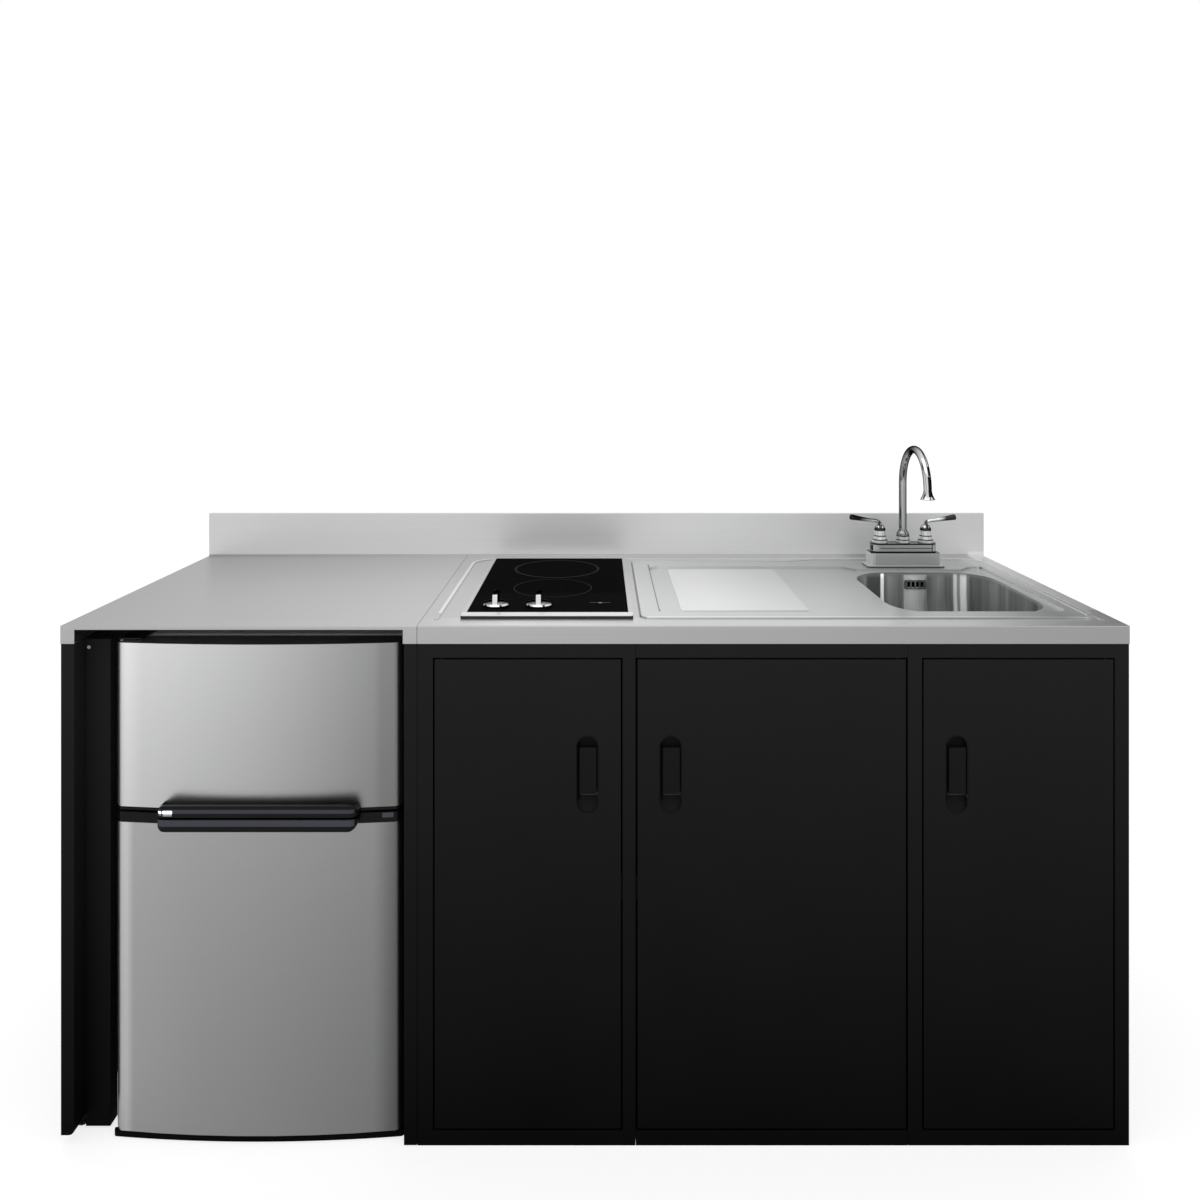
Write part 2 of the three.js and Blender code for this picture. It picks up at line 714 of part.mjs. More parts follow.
// The pressed bead: up the left side, along the back and down the right side, with round corners.
function marineBead() {
  const [x0, x1] = [BAY_RIGHT + BEAD_SIDE, RIGHT - BEAD_SIDE];
  const [y0, y1] = [FRONT + BEAD_FRONT, SPLASH_FACE - BEAD_REAR];
  const outer = roundedRect(
    [x0 - BEAD_W / 2, x1 + BEAD_W / 2],
    [y0 - BEAD_R * 2, y1 + BEAD_W / 2],
    BEAD_R + BEAD_W / 2,
  );
  const inner = roundedRect(
    [x0 + BEAD_W / 2, x1 - BEAD_W / 2],
    [y0 - BEAD_R * 2, y1 - BEAD_W / 2],
    BEAD_R - BEAD_W / 2,
  );
  const height = [TOP_Z - SHEET / 2, TOP_Z + BEAD_H];
  return push(outer, "z", height)
    .subtract(push(inner, "z", grown(height, CUT)))
    .subtract(box([x0 - BEAD_R, x1 + BEAD_R], [FRONT - BEAD_R * 3, y0], grown(height, CUT)));
}

function rightWorktop() {
  const through = [TOP_Z - SHEET - CUT, TOP_Z + CUT];
  const hobHole = roundedRect(
    [HOB_MIDDLE - PAN_HALF_W - CUTOUT_MARGIN, HOB_MIDDLE + PAN_HALF_W + CUTOUT_MARGIN],
    [HOB_FRONT + PAN_FRONT - CUTOUT_MARGIN, HOB_FRONT + PAN_REAR + CUTOUT_MARGIN],
    6,
  );
  const sinkHole = roundedRect(
    grown([SINK_LEFT, SINK_RIGHT], -SUPPORT_RIM),
    grown([SINK_FRONT, SINK_REAR], -SUPPORT_RIM),
    SINK_R,
  );
  return worktop(BAY_RIGHT + SEAM / 2, RIGHT)
    .add(marineBead())
    .subtract(push(hobHole, "z", through))
    .subtract(push(sinkHole, "z", through));
}

// ---------- Hob ----------
const HOB_W = HOB_CABINET_W - HOB_LEFT_MARGIN - HOB_RIGHT_MARGIN;
const HOB_MIDDLE = BAY_RIGHT + HOB_LEFT_MARGIN + HOB_W / 2;
const HOB_FRONT = FRONT + HOB_FRONT_MARGIN;
const GLASS_UNDERSIDE = TRIM_H - GLASS_T;
const PAN_HALF_W = HOB_W / 2 - TRIM_SIDE - TRIM_LEDGE - SEAT;
const PAN_FRONT = TRIM_FRONT + TRIM_LEDGE + SEAT;
const PAN_REAR = HOB_D - TRIM_REAR - TRIM_LEDGE - SEAT;
const ELEMENTS = {
  rear: { y: HOB_D - RING_REAR_MARGIN - REAR_RING_R, r: REAR_RING_R },
  front: { y: CONTROL_STRIP + FRONT_RING_R, r: FRONT_RING_R },
};
const REGULATORS = {
  rear: { x: KNOB_LEFT - HOB_W / 2 },
  front: { x: KNOB_LEFT - HOB_W / 2 + KNOB_PITCH },
};

// The frame round the glass, with a ledge that carries it.
function hobTrim() {
  const window = { x: grown([-HOB_W / 2, HOB_W / 2], -TRIM_SIDE), y: [TRIM_FRONT, HOB_D - TRIM_REAR] };
  return cut(
    push(roundedRect([-HOB_W / 2, HOB_W / 2], [0, HOB_D], 3), "z", [0, TRIM_H], 3),
    box(window.x, window.y, [GLASS_UNDERSIDE - SEAT, TRIM_H + CUT]),
    box(grown(window.x, -TRIM_LEDGE), grown(window.y, -TRIM_LEDGE), [-CUT, TRIM_H + CUT]),
  );
}

function hobGlass() {
  const across = grown([-HOB_W / 2, HOB_W / 2], -TRIM_SIDE - SEAT);
  const depth = grown([TRIM_FRONT, HOB_D - TRIM_REAR], -SEAT);
  const height = [GLASS_UNDERSIDE, TRIM_H];
  const holes = Object.values(REGULATORS).map(({ x }) =>
    rod(SPINDLE_R + 2, grown(height, CUT)).translate([x, KNOB_FRONT, 0]),
  );
  const lensHole = rod(INDICATOR_R + SEAT, grown(height, CUT));
  return cut(
    box(across, depth, height),
    ...holes,
    lensHole.translate([HOB_W / 2 - INDICATOR_RIGHT, INDICATOR_FRONT, 0]),
  );
}

function hobPan() {
  const top = GLASS_UNDERSIDE - SEAT;
  const across = [-PAN_HALF_W, PAN_HALF_W];
  const depth = [PAN_FRONT, PAN_REAR];
  return cut(
    push(roundedRect(across, depth, 5), "z", [top - PAN_DEPTH, top], 3),
    push(
      roundedRect(grown(across, -PAN_WALL), grown(depth, -PAN_WALL), 4),
      "z",
      [top - PAN_DEPTH + PAN_WALL, top + CUT],
      3,
    ),
  );
}

// A radiant element: an insulated dish pressed up against the glass.
function elementDish(radius) {
  const outer = radius + DISH_RIM;
  const top = GLASS_UNDERSIDE - SEAT;
  const foot = top - DISH_H;
  return turned(
    [
      [0, foot],
      [outer - 6, foot],
      [outer, foot + 6],
      [outer, top],
      [outer - DISH_WALL, top],
      [outer - DISH_WALL, foot + 12],
      [0, foot + 12],
    ],
    32,
  );
}

function regulatorBody() {
  const top = GLASS_UNDERSIDE - SEAT;
  const { width, depth, height } = REGULATOR;
  return joined(
    box(about(0, width), about(0, depth), [top - height - 4, top - 4]),
    rod(9, [top - 5, top], 12),
    box(about(0, 5), [-depth / 2 + 4, -depth / 2 + 8], [top - height - 14, top - height]),
    box(about(0, 5), [depth / 2 - 8, depth / 2 - 4], [top - height - 14, top - height]),
  ).subtract(rod(SPINDLE_R + SEAT, [top - SPINDLE_DEPTH - SEAT, top + CUT]));
}

// A knob about its spindle, standing on the glass: a round skirt, an upright blade and the spindle
// below.
function knobBody() {
  const skirt = turned([
    [0, 0],
    [KNOB_R, 0],
    [KNOB_R, 2],
    [KNOB_R - 2, KNOB_SKIRT_H - 1],
    [KNOB_R * 0.6, KNOB_SKIRT_H + 1],
    [0, KNOB_SKIRT_H + 2],
  ]);
  const side = polygon(
    [-KNOB_R + 3, KNOB_SKIRT_H - 2],
    [KNOB_R - 3, KNOB_SKIRT_H - 2],
    [KNOB_R - 6, KNOB_H - 2],
    [KNOB_R - 9, KNOB_H],
    [-KNOB_R + 9, KNOB_H],
    [-KNOB_R + 6, KNOB_H - 2],
  );
  const spindleFoot = GLASS_UNDERSIDE - TRIM_H - SEAT * 2 - SPINDLE_DEPTH;
  return joined(
    skirt,
    push(side, "y", about(0, KNOB_BLADE_T)).rotate([0, 0, 90]),
    rod(SPINDLE_R, [spindleFoot, 1]),
  );
}

function addHob() {
  const hob = groupAt(HOB_MIDDLE, HOB_FRONT, TOP_Z + SEAT);
  addNode("hob_trim", hobTrim(), "brushedSteel", hob);
  addNode("hob_glass", hobGlass(), "blackGlass", hob);
  addNode("hob_pan", hobPan(), "zincSteel", hob);
  for (const [place, { y, r }] of Object.entries(ELEMENTS)) {
    addNode("hob_" + place + "_element", elementDish(r), "ceramic", groupAt(0, y, 0, hob));
  }
  for (const [place, { x }] of Object.entries(REGULATORS)) {
    addNode(
      "hob_" + place + "_regulator",
      regulatorBody(),
      "greyPlastic",
      groupAt(x, KNOB_FRONT, 0, hob),
    );
    addNode("hob_" + place + "_knob", knobBody(), "chrome", groupAt(x, KNOB_FRONT, TRIM_H + SEAT, hob));
  }
  const lens = joined(
    rod(INDICATOR_R, [GLASS_UNDERSIDE - 6, TRIM_H + 0.6]),
    rod(INDICATOR_R + 2, [GLASS_UNDERSIDE - 5, GLASS_UNDERSIDE - SEAT]),
  );
  const lensAt = groupAt(HOB_W / 2 - INDICATOR_RIGHT, INDICATOR_FRONT, 0, hob);
  addNode("hob_indicator_lens", lens, "amberLens", lensAt);
}

// ---------- Sink ----------
const SINK_LEFT = FIRST_SEAM + SINK_LEFT_GAP;
const SINK_RIGHT = RIGHT - BEAD_SIDE - BEAD_W / 2 - SINK_TO_BEAD;
const SINK_FRONT = FRONT + BEAD_FRONT + SINK_TO_BEAD * 2;
const SINK_REAR = SPLASH_FACE - BEAD_REAR - BEAD_W / 2 - SINK_TO_BEAD - SINK_SWELL;
const SINK_W = SINK_RIGHT - SINK_LEFT;
const SINK_D = SINK_REAR - SINK_FRONT;
const BOWL = {
  x: [SINK_W - BOWL_RIGHT - BOWL_W, SINK_W - BOWL_RIGHT],
  y: [BOWL_FRONT, SINK_D - BOWL_REAR],
};
const BOWL_MIDDLE = [(BOWL.x[0] + BOWL.x[1]) / 2, (BOWL.y[0] + BOWL.y[1]) / 2];
const WELL_FLOOR = DECK_T - WELL.drop; // upper face of the sunken part
const BOWL_FLOOR = WELL_FLOOR - BOWL_DEPTH;
const TAP = { x: BOWL_MIDDLE[0] + TAP_OFFSET, y: SINK_D - TAP_FROM_REAR };

// The sink's outline, whose back edge swells behind the tap.
function sinkOutline(inset) {
  const [x0, x1, y0, y1] = [inset, SINK_W - inset, inset, SINK_D - inset];
  const r = SINK_R - inset;
  const swelled = y1 + SINK_SWELL;
  const rearR = BEAD_R - BEAD_W / 2 - SINK_TO_BEAD - inset; // follows the bead round its corner
  const outline = new THREE.Shape();
  outline.absarc(x0 + r, y0 + r, r, Math.PI, 1.5 * Math.PI);
  outline.absarc(x1 - r, y0 + r, r, -Math.PI / 2, 0);
  outline.absarc(x1 - rearR, swelled - rearR, rearR, 0, Math.PI / 2);
  outline.lineTo(SWELL_FROM + SWELL_RUN, swelled);
  outline.bezierCurveTo(
    SWELL_FROM + SWELL_RUN / 2,
    swelled,
    SWELL_FROM + SWELL_RUN / 2,
    y1,
    SWELL_FROM,
    y1,
  );
  outline.absarc(x0 + r, y1 - r, r, Math.PI / 2, Math.PI);
  return outline;
}

// The sunken part's outline. Its back edge swings forward, past the tap's ledge.
function wellOutline(grow) {
  const { left, right, front, rear, r } = WELL;
  const { half, blend, depth } = TAP_LEDGE;
  const [x0, x1] = [left - grow, SINK_W - right + grow];
  const [y0, y1] = [front - grow, SINK_D - rear + grow];
  const [a, b] = [TAP.x - half, TAP.x + half];
  const round = r + grow;
  const outline = new THREE.Shape();
  outline.absarc(x0 + round, y0 + round, round, Math.PI, 1.5 * Math.PI);
  outline.absarc(x1 - round, y0 + round, round, -Math.PI / 2, 0);
  outline.absarc(x1 - 2 * grow - 8, y1 - 8, 8, 0, Math.PI / 2);
  outline.bezierCurveTo(b + blend / 2, y1, b + blend / 2, y1 - depth, b, y1 - depth);
  outline.lineTo(a, y1 - depth);
  outline.bezierCurveTo(a - blend / 2, y1 - depth, a - blend / 2, y1, a - blend, y1);
  outline.absarc(x0 + round, y1 - round, round, Math.PI / 2, Math.PI);
  return outline;
}

// The bowl's hollow, or its outside when it is grown by the sheet.
function bowlForm(grow, top) {
  const ring = (inset, r, z) => levelRing(
    grown(BOWL.x, grow - inset),
    grown(BOWL.y, grow - inset),
    r,
    z,
  );
  return loft([
    ring(BOWL_TAPER + BOWL_FILLET, BOWL_R - BOWL_TAPER - BOWL_FILLET, BOWL_FLOOR - grow),
    ring(
      BOWL_TAPER + BOWL_FILLET * 0.3,
      BOWL_R - BOWL_TAPER - BOWL_FILLET * 0.3,
      BOWL_FLOOR - grow + BOWL_FILLET * 0.3,
    ),
    ring(BOWL_TAPER, BOWL_R - BOWL_TAPER, BOWL_FLOOR - grow + BOWL_FILLET),
    ring(0, BOWL_R, WELL_FLOOR - BOWL_STRAIGHT),
    ring(0, BOWL_R, top),
  ]);
}

function sinkBody() {
  const deck = cut(
    push(sinkOutline(0), "z", [0, DECK_RIM_H]),
    push(sinkOutline(DECK_RIM_W), "z", [DECK_T, DECK_RIM_H + CUT]),
  );
  const pressed = deck.add(push(wellOutline(DECK_T), "z", [WELL_FLOOR - DECK_T, DECK_T / 2]));
  const drainer = roundedRect(
    [DRAINER.left, DRAINER.left + DRAINER.width],
    [DRAINER.front, SINK_D - DRAINER.rear],
    DRAINER.r,
  );
  const overflowHole = box(
    about(BOWL_MIDDLE[0], OVERFLOW.width - 12),
    [BOWL.y[1] - CUT, BOWL.y[1] + DECK_T + CUT],
    about(WELL_FLOOR - OVERFLOW.drop, OVERFLOW.height - 8),
  );
  const shankHoles = [-1, 1].map((side) =>
    rod(SHANK_HOLE_R, [-CUT, DECK_T + CUT]).translate([TAP.x + (side * HUB_SPREAD) / 2, TAP.y, 0]),
  );
  return cut(
    joined(
      pressed.subtract(push(wellOutline(0), "z", [WELL_FLOOR, DECK_T + CUT])),
      push(drainer, "z", [WELL_FLOOR - DECK_T / 2, WELL_FLOOR + DRAINER.height]),
      bowlForm(DECK_T, WELL_FLOOR - DECK_T / 2),
    ),
    bowlForm(0, WELL_FLOOR + CUT),
    rod(DRAIN_R, [BOWL_FLOOR - DECK_T - CUT, BOWL_FLOOR + CUT], 24).translate([...BOWL_MIDDLE, 0]),
    overflowHole,
    ...shankHoles,
  );
}

// The slotted plate over the overflow, held by one screw in its middle.
function overflowCover() {
  const { width, height, t, slots, slotW, slotH } = OVERFLOW;
  const plate = push(roundedRect(about(0, width), about(0, height), 4), "y", [-t, 0], 3);
  const pitch = width / (slots + 1);
  const cuts = Array.from({ length: slots }, (_, i) => {
    const offset = (i - (slots - 1) / 2) * pitch;
    return push(roundedRect(about(offset, slotW), about(0, slotH), slotW / 2), "y", [-t - CUT, CUT], 3);
  });
  const screw = rod(2.4, [-0.5, 1]).rotate([90, 0, 0]).translate([0, -t, 0]);
  return cut(plate, ...cuts).add(screw);
}

function wasteBody() {
  const inner = WASTE_R - WASTE_WALL;
  const tailInner = TAIL_R - TAIL_WALL;
  const tailFoot = -WASTE_DEPTH - 8 - TAIL_LENGTH;
  return turned([
    [WASTE_R, SEAT],
    [WASTE_FLANGE_R, SEAT],
    [WASTE_FLANGE_R - 1, 2],
    [inner + 2, 1.2],
    [inner, -4],
    [inner, -WASTE_DEPTH],
    [tailInner, -WASTE_DEPTH - 8],
    [tailInner, tailFoot],
    [TAIL_R, tailFoot],
    [TAIL_R, -WASTE_DEPTH - 8 - WASTE_WALL],
    [WASTE_R, -WASTE_DEPTH - WASTE_WALL],
    [WASTE_R, SEAT],
  ]);
}

// The lift-out basket, with a knob to pull it by.
function strainerBasket() {
  const rim = WASTE_R - WASTE_WALL - 1;
  const foot = -WASTE_DEPTH - 1;
  return turned([
    [0, foot],
    [BASKET_R, foot],
    [BASKET_R, -16],
    [rim, -13],
    [rim, -11.5],
    [BASKET_R - 1.5, -14],
    [BASKET_R - 1.5, foot + 1.5],
    [3, foot + 1.5],
    [3, -6],
    [7, -2],
    [6, 2],
    [0, 3],
  ]);
}

// The trap: down from the waste, round a bend, up again and away to the back.
function trapPipe(reach) {
  const bore = TAIL_R + TRAP_SLIP;
  const outer = bore + TRAP_WALL;
  const legs = [
    { run: TRAP_DROP },
    { turn: Math.PI, radius: TRAP_BEND },
    { run: TRAP_RISE },
    { turn: -Math.PI / 2, radius: TRAP_BEND },
    { run: reach - TRAP_BEND * 3 },
  ];
  const top = -WASTE_DEPTH - 8 - TAIL_LENGTH + 16;
  const route = new BentRoute(new THREE.Vector3(0, 0, top), Z.clone().negate(), Y, legs);
  const nut = turned([
    [bore + 1, top - 14],
    [outer + 5, top - 14],
    [outer + 5, top - 4],
    [outer + 2, top - 1],
    [bore + 1, top - 1],
    [bore + 1, top - 14],
  ], 12);
  return joined(tube(route, outer, { sides: 12, steps: 26, bore }), nut);
}

function addSink() {
  const sink = groupAt(SINK_LEFT, SINK_FRONT, TOP_Z + SEAT);
  addNode("sink", sinkBody(), "sinkSteel", sink);
  const overflowAt = groupAt(BOWL_MIDDLE[0], BOWL.y[1] - SEAT, WELL_FLOOR - OVERFLOW.drop, sink);
  addNode("sink_overflow_cover", overflowCover(), "chrome", overflowAt);
  const drain = groupAt(...BOWL_MIDDLE, BOWL_FLOOR, sink);
  addNode("sink_waste", wasteBody(), "chrome", drain);
  addNode("sink_strainer", strainerBasket(), "chrome", drain);
  const cabinetBack = FACE + CARCASS_D - SHEET;
  const reach = cabinetBack - TRAP_END_GAP - (SINK_FRONT + BOWL_MIDDLE[1]);
  addNode("sink_trap", trapPipe(reach), "greyPlastic", drain);
}

// ---------- Tap ----------
const TAP_BODY_TOP = SEAT + TAP_PLATE.height + TAP_BLOCK.height + TAP_BRIDGE.height;

function tapBody() {
  const plateTop = SEAT + TAP_PLATE.height;
  const blockTop = plateTop + TAP_BLOCK.height;
  const { width, depth, taper } = TAP_BLOCK;
  const plate = push(
    roundedRect(about(0, TAP_PLATE.width), about(0, TAP_PLATE.depth), 8),
    "z",
    [SEAT, plateTop],
    4,
  );
  const block = loft([
    levelRing(about(0, width), about(0, depth), 6, plateTop - 0.5, 3),
    levelRing(about(0, width - taper), about(0, depth - taper), 5, blockTop, 3),
  ]);
  const bridge = push(
    roundedRect(about(0, TAP_BRIDGE.width), about(0, TAP_BRIDGE.depth), TAP_BRIDGE.depth / 2 - 1),
    "z",
    [blockTop - 0.5, TAP_BODY_TOP],
  );
  const fittings = [-1, 1].flatMap((side) => {
    const x = (side * HUB_SPREAD) / 2;
    const bonnet = turned([
      [0, TAP_BODY_TOP - 1],
      [BONNET_R + 2, TAP_BODY_TOP - 1],
      [BONNET_R + 2, TAP_BODY_TOP + 6],
      [BONNET_R, TAP_BODY_TOP + 9],
      [BONNET_R - 3, TAP_BODY_TOP + 20],
      [BONNET_R - 3, TAP_BODY_TOP + BONNET_H],
      [0, TAP_BODY_TOP + BONNET_H],
    ], 20);
    const shank = rod(SHANK_R, [-SHANK_LENGTH, SEAT + 1], 14);
    const nut = rod(SHANK_R + 9, [-DECK_T - 12, -DECK_T - SEAT], 6);
    return [bonnet, shank, nut].map((solid) => solid.translate([x, 0, 0]));
  });
  const hub = rod(SPOUT_HUB_R, [TAP_BODY_TOP - 1, TAP_BODY_TOP + SPOUT_HUB_H], 20);
  return joined(plate, block, bridge, hub, ...fittings);
}

const SPOUT_FOOT = TAP_BODY_TOP + SPOUT_HUB_H + SEAT;

function spoutPipe() {
  const legs = [{ run: SPOUT_RISE }, { turn: Math.PI, radius: SPOUT_BEND }];
  const route = new BentRoute(new THREE.Vector3(0, 0, SPOUT_FOOT + 2), Z, Y.clone().negate(), legs);
  const collar = turned([
    [0, SPOUT_FOOT],
    [SPOUT_HUB_R - 1, SPOUT_FOOT],
    [SPOUT_HUB_R - 2, SPOUT_FOOT + 5],
    [SPOUT_R + 1, SPOUT_FOOT + 12],
    [0, SPOUT_FOOT + 12],
  ], 20);
  return joined(collar, tube(route, SPOUT_R, { sides: 12, steps: 30 }));
}

// The flared end piece, open underneath.
function aeratorBell() {
  return turned([
    [0, 0],
    [SPOUT_R + 0.4, 0],
    [SPOUT_R + 1.5, -6],
    [AERATOR_R - 1, -AERATOR_H + 2],
    [AERATOR_R, -AERATOR_H + 1],
    [AERATOR_R - 0.5, -AERATOR_H],
    [AERATOR_R - 4, -AERATOR_H],
    [AERATOR_R - 5, -AERATOR_H + 6],
    [0, -AERATOR_H + 6],
  ], 20);
}

// A lever about its own hub. It leans out towards side and up.
function leverHandle(side) {
  const foot = TAP_BODY_TOP + BONNET_H + SEAT;
  const hub = turned([
    [0, foot],
    [BONNET_R - 3, foot],
    [BONNET_R - 3, foot + 5],
    [BONNET_R - 6, foot + 11],
    [0, foot + 13],
  ], 20);
  const bend = new THREE.QuadraticBezierCurve3(
    new THREE.Vector3(0, 0, foot + 4),
    new THREE.Vector3(side * 10, 0, foot + LEVER_RISE),
    new THREE.Vector3(side * LEVER_REACH, 0, foot + LEVER_RISE + 10),
  );
  const tip = new THREE.LineCurve3(bend.getPoint(0.55), bend.getPoint(1).add(bend.getTangent(1)));
  return joined(hub, tube(bend, 4, { sides: 10, steps: 12 }), tube(tip, 5.2, { sides: 10, steps: 1 }));
}

function addTap() {
  const tap = groupAt(SINK_LEFT + TAP.x, SINK_FRONT + TAP.y, TOP_Z + SEAT + DECK_T);
  addNode("tap_body", tapBody(), "chrome", tap);
  addNode("tap_spout", spoutPipe(), "chrome", tap);
  const outlet = groupAt(0, -2 * SPOUT_BEND, SPOUT_FOOT + 2 + SPOUT_RISE - SEAT, tap);
  addNode("tap_aerator", aeratorBell(), "chrome", outlet);
  addNode("tap_hot_lever", leverHandle(-1), "chrome", groupAt(-HUB_SPREAD / 2, 0, 0, tap));
  addNode("tap_cold_lever", leverHandle(1), "chrome", groupAt(HUB_SPREAD / 2, 0, 0, tap));
}

// ---------- Bay ----------
const PANEL_RIGHT = BAY_RIGHT - SEAM / 2;
const REAR = BACK - REAR_SETBACK;

// A side panel of folded sheet. inward is 1 where the bay lies towards +X.
function bayPanel(outer, inward, foot) {
  const at = (u) => outer + inward * u;
  const inner = at(BAY_FLANGE_W);
  const hollow = polygon(
    [at(SHEET), FACE + SHEET],
    [at(BAY_FLANGE_W - SHEET), FACE + SHEET],
    [at(BAY_FLANGE_W - SHEET), FACE + PANEL_RETURN_D],
    [at(BAY_FLANGE_W + CUT), FACE + PANEL_RETURN_D],
    [at(BAY_FLANGE_W + CUT), REAR - SHEET],
    [at(SHEET), REAR - SHEET],
  );
  const body = cut(
    box([outer, inner].sort((a, b) => a - b), [FACE, REAR], [foot, CARCASS_TOP]),
    push(hollow, "z", [foot + SHEET, CARCASS_TOP - SHEET]),
  );
  if (!foot) return body;
  const arc = [[0, 1], [0.13, 0.5], [0.5, 0.13], [1, 0]].map(([u, v]) => [
    at(BAY_FLANGE_W - u * PANEL_FOOT_R),
    foot + v * PANEL_FOOT_R,
  ]);
  const beyond = at(BAY_FLANGE_W + CUT);
  const corner = polygon(
    [beyond, foot + PANEL_FOOT_R],
    ...arc,
    [arc[3][0], foot - CUT],
    [beyond, foot - CUT],
  );
  return body.subtract(push(corner, "y", [FACE - CUT, FACE + PANEL_RETURN_D + CUT]));
}

// The recessed strip that closes the space beside the fridge.
function bayFiller() {
  const left = LEFT + BAY_FLANGE_W + SEAT;
  const right = FRIDGE_LEFT - FILLER_TO_FRIDGE;
  const y = FACE + FILLER_SETBACK;
  const plan = polygon(
    [left, y],
    [right, y],
    [right, y + FILLER_RETURN_D],
    [right - SHEET, y + FILLER_RETURN_D],
    [right - SHEET, y + SHEET],
    [left + SHEET, y + SHEET],
    [left + SHEET, y + FILLER_LIP_D],
    [left, y + FILLER_LIP_D],
  );
  return push(plan, "z", [FILLER_FOOT_Z, CARCASS_TOP - SHEET - SEAT]);
}

// The channel that ties the side panels together at the back.
function rearRail() {
  const y = REAR - SHEET - SEAT;
  const top = CARCASS_TOP - SHEET - SEAT;
  const foot = top - REAR_RAIL_H;
  const profile = polygon(
    [y - FLANGE_W, foot],
    [y, foot],
    [y, top],
    [y - FLANGE_W, top],
    [y - FLANGE_W, top - SHEET],
    [y - SHEET, top - SHEET],
    [y - SHEET, foot + SHEET],
    [y - FLANGE_W, foot + SHEET],
  );
  return push(profile, "x", [LEFT + SHEET + SEAT, PANEL_RIGHT - SHEET - SEAT]);
}

function glide() {
  const foot = PANEL_FOOT_Z - SEAT;
  return turned([
    [0, 0],
    [GLIDE_R - 2, 0],
    [GLIDE_R, 3],
    [GLIDE_R - 4, 7],
    [5, 8],
    [5, foot],
    [0, foot],
  ], 16);
}

function addBay() {
  addNode("bay_left_panel", bayPanel(LEFT, 1, PANEL_FOOT_Z), "blackPaint");
  addNode("bay_right_panel", bayPanel(PANEL_RIGHT, -1, 0), "blackPaint");
  addNode("bay_filler", bayFiller(), "blackPaint");
  addNode("bay_rear_rail", rearRail(), "blackPaint");
  const glideX = LEFT + FLANGE_W / 2;
  addNode("bay_front_glide", glide(), "blackPlastic", groupAt(glideX, FACE + GLIDE_INSET, 0));
  addNode("bay_rear_glide", glide(), "blackPlastic", groupAt(glideX, REAR - GLIDE_INSET, 0));
}

// ---------- Fridge ----------
const FRIDGE_RIGHT = PANEL_RIGHT - BAY_FLANGE_W - FRIDGE_GAP;
const FRIDGE_LEFT = FRIDGE_RIGHT - FRIDGE_W;
const DOOR_REAR = -(GASKET_T + 2 * SEAT); // in the fridge's frame, whose y is 0 at the cabinet's front
const FRIDGE_FRONT = FRONT + FRIDGE_DOOR_SETBACK + FRIDGE_DOOR_BULGE + FRIDGE_DOOR_T - DOOR_REAR;
const FRIDGE_PIVOT = { x: FRIDGE_PIVOT_X, y: DOOR_REAR - FRIDGE_PIVOT_Y };
const FRIDGE_BODY_Z = FRIDGE_BASE_H + SEAT;
const FRIDGE_DOOR_Z = FRIDGE_BODY_Z + HINGE_PLATE_T + 0.8;
const CAPS = {
  upper: [DOOR_SEAM_Z + DOOR_SEAM_GAP / 2, DOOR_SEAM_Z + DOOR_SEAM_GAP / 2 + CAP_H.upper],
  lower: [DOOR_SEAM_Z - DOOR_SEAM_GAP / 2 - CAP_H.lower, DOOR_SEAM_Z - DOOR_SEAM_GAP / 2],
};
const DOORS = {
  freezer: {
    z: [CAPS.upper[1] + SEAT, FRIDGE_TOP_Z],
    room: [DOOR_SEAM_Z + MULLION.top, FRIDGE_TOP_Z - FRIDGE_WALL],
  },
  fridge: {
    z: [FRIDGE_DOOR_Z, CAPS.lower[0] - SEAT],
    room: [FRIDGE_BODY_Z + FRIDGE_BACK_WALL, DOOR_SEAM_Z - MULLION.bottom],
  },
};
const ROOM_X = [FRIDGE_WALL, FRIDGE_W - FRIDGE_WALL];
const ROOM_REAR = FRIDGE_BODY_D - FRIDGE_BACK_WALL;
const STEP_Y = FRIDGE_BODY_D - STEP_DEPTH;

function fridgeBody() {
  const { freezer, fridge } = DOORS;
  const onWalls = [
    [ROOM_X[0] - 1, ROOM_X[0] + SHELF_RIB.width],
    [ROOM_X[1] - SHELF_RIB.width, ROOM_X[1] + 1],
  ];
  const ribs = [LOWER_SHELF_Z, UPPER_SHELF_Z].flatMap((z) =>
    onWalls.map((across) =>
      box(across, [INNER_CLEAR + 4, ROOM_REAR + 1], [z - SHELF_RIB.height, z - SEAT]),
    ),
  );
  const dialBoss = box(
    [ROOM_X[1] - DIAL_T - 10, ROOM_X[1] + 1],
    about(INNER_CLEAR + 40, 64),
    about(DIAL_Z, 40),
  );
  return joined(
    cut(
      box([0, FRIDGE_W], [0, FRIDGE_BODY_D], [FRIDGE_BODY_Z, FRIDGE_TOP_Z]),
      push(roundedRect(ROOM_X, freezer.room, 10), "y", [-CUT, ROOM_REAR], 3),
      push(roundedRect(ROOM_X, [STEP_Z, fridge.room[1]], 10), "y", [-CUT, ROOM_REAR], 3),
      push(roundedRect(ROOM_X, [fridge.room[0], STEP_Z + 20], 10), "y", [-CUT, STEP_Y], 3),
      box([25, FRIDGE_W - 25], [STEP_Y + FRIDGE_BACK_WALL, FRIDGE_BODY_D + CUT], [0, RECESS_Z]),
    ),
    ...ribs,
    dialBoss,
  );
}

function fridgeBase() {
  const depth = [-BASE_FORWARD, FRIDGE_BODY_D];
  return cut(
    push(roundedRect([0, FRIDGE_W], depth, 10), "z", [0, FRIDGE_BASE_H], 4),
    push(roundedRect([6, FRIDGE_W - 6], grown(depth, -6), 6), "z", [-CUT, FRIDGE_BASE_H - 2], 4),
  );
}

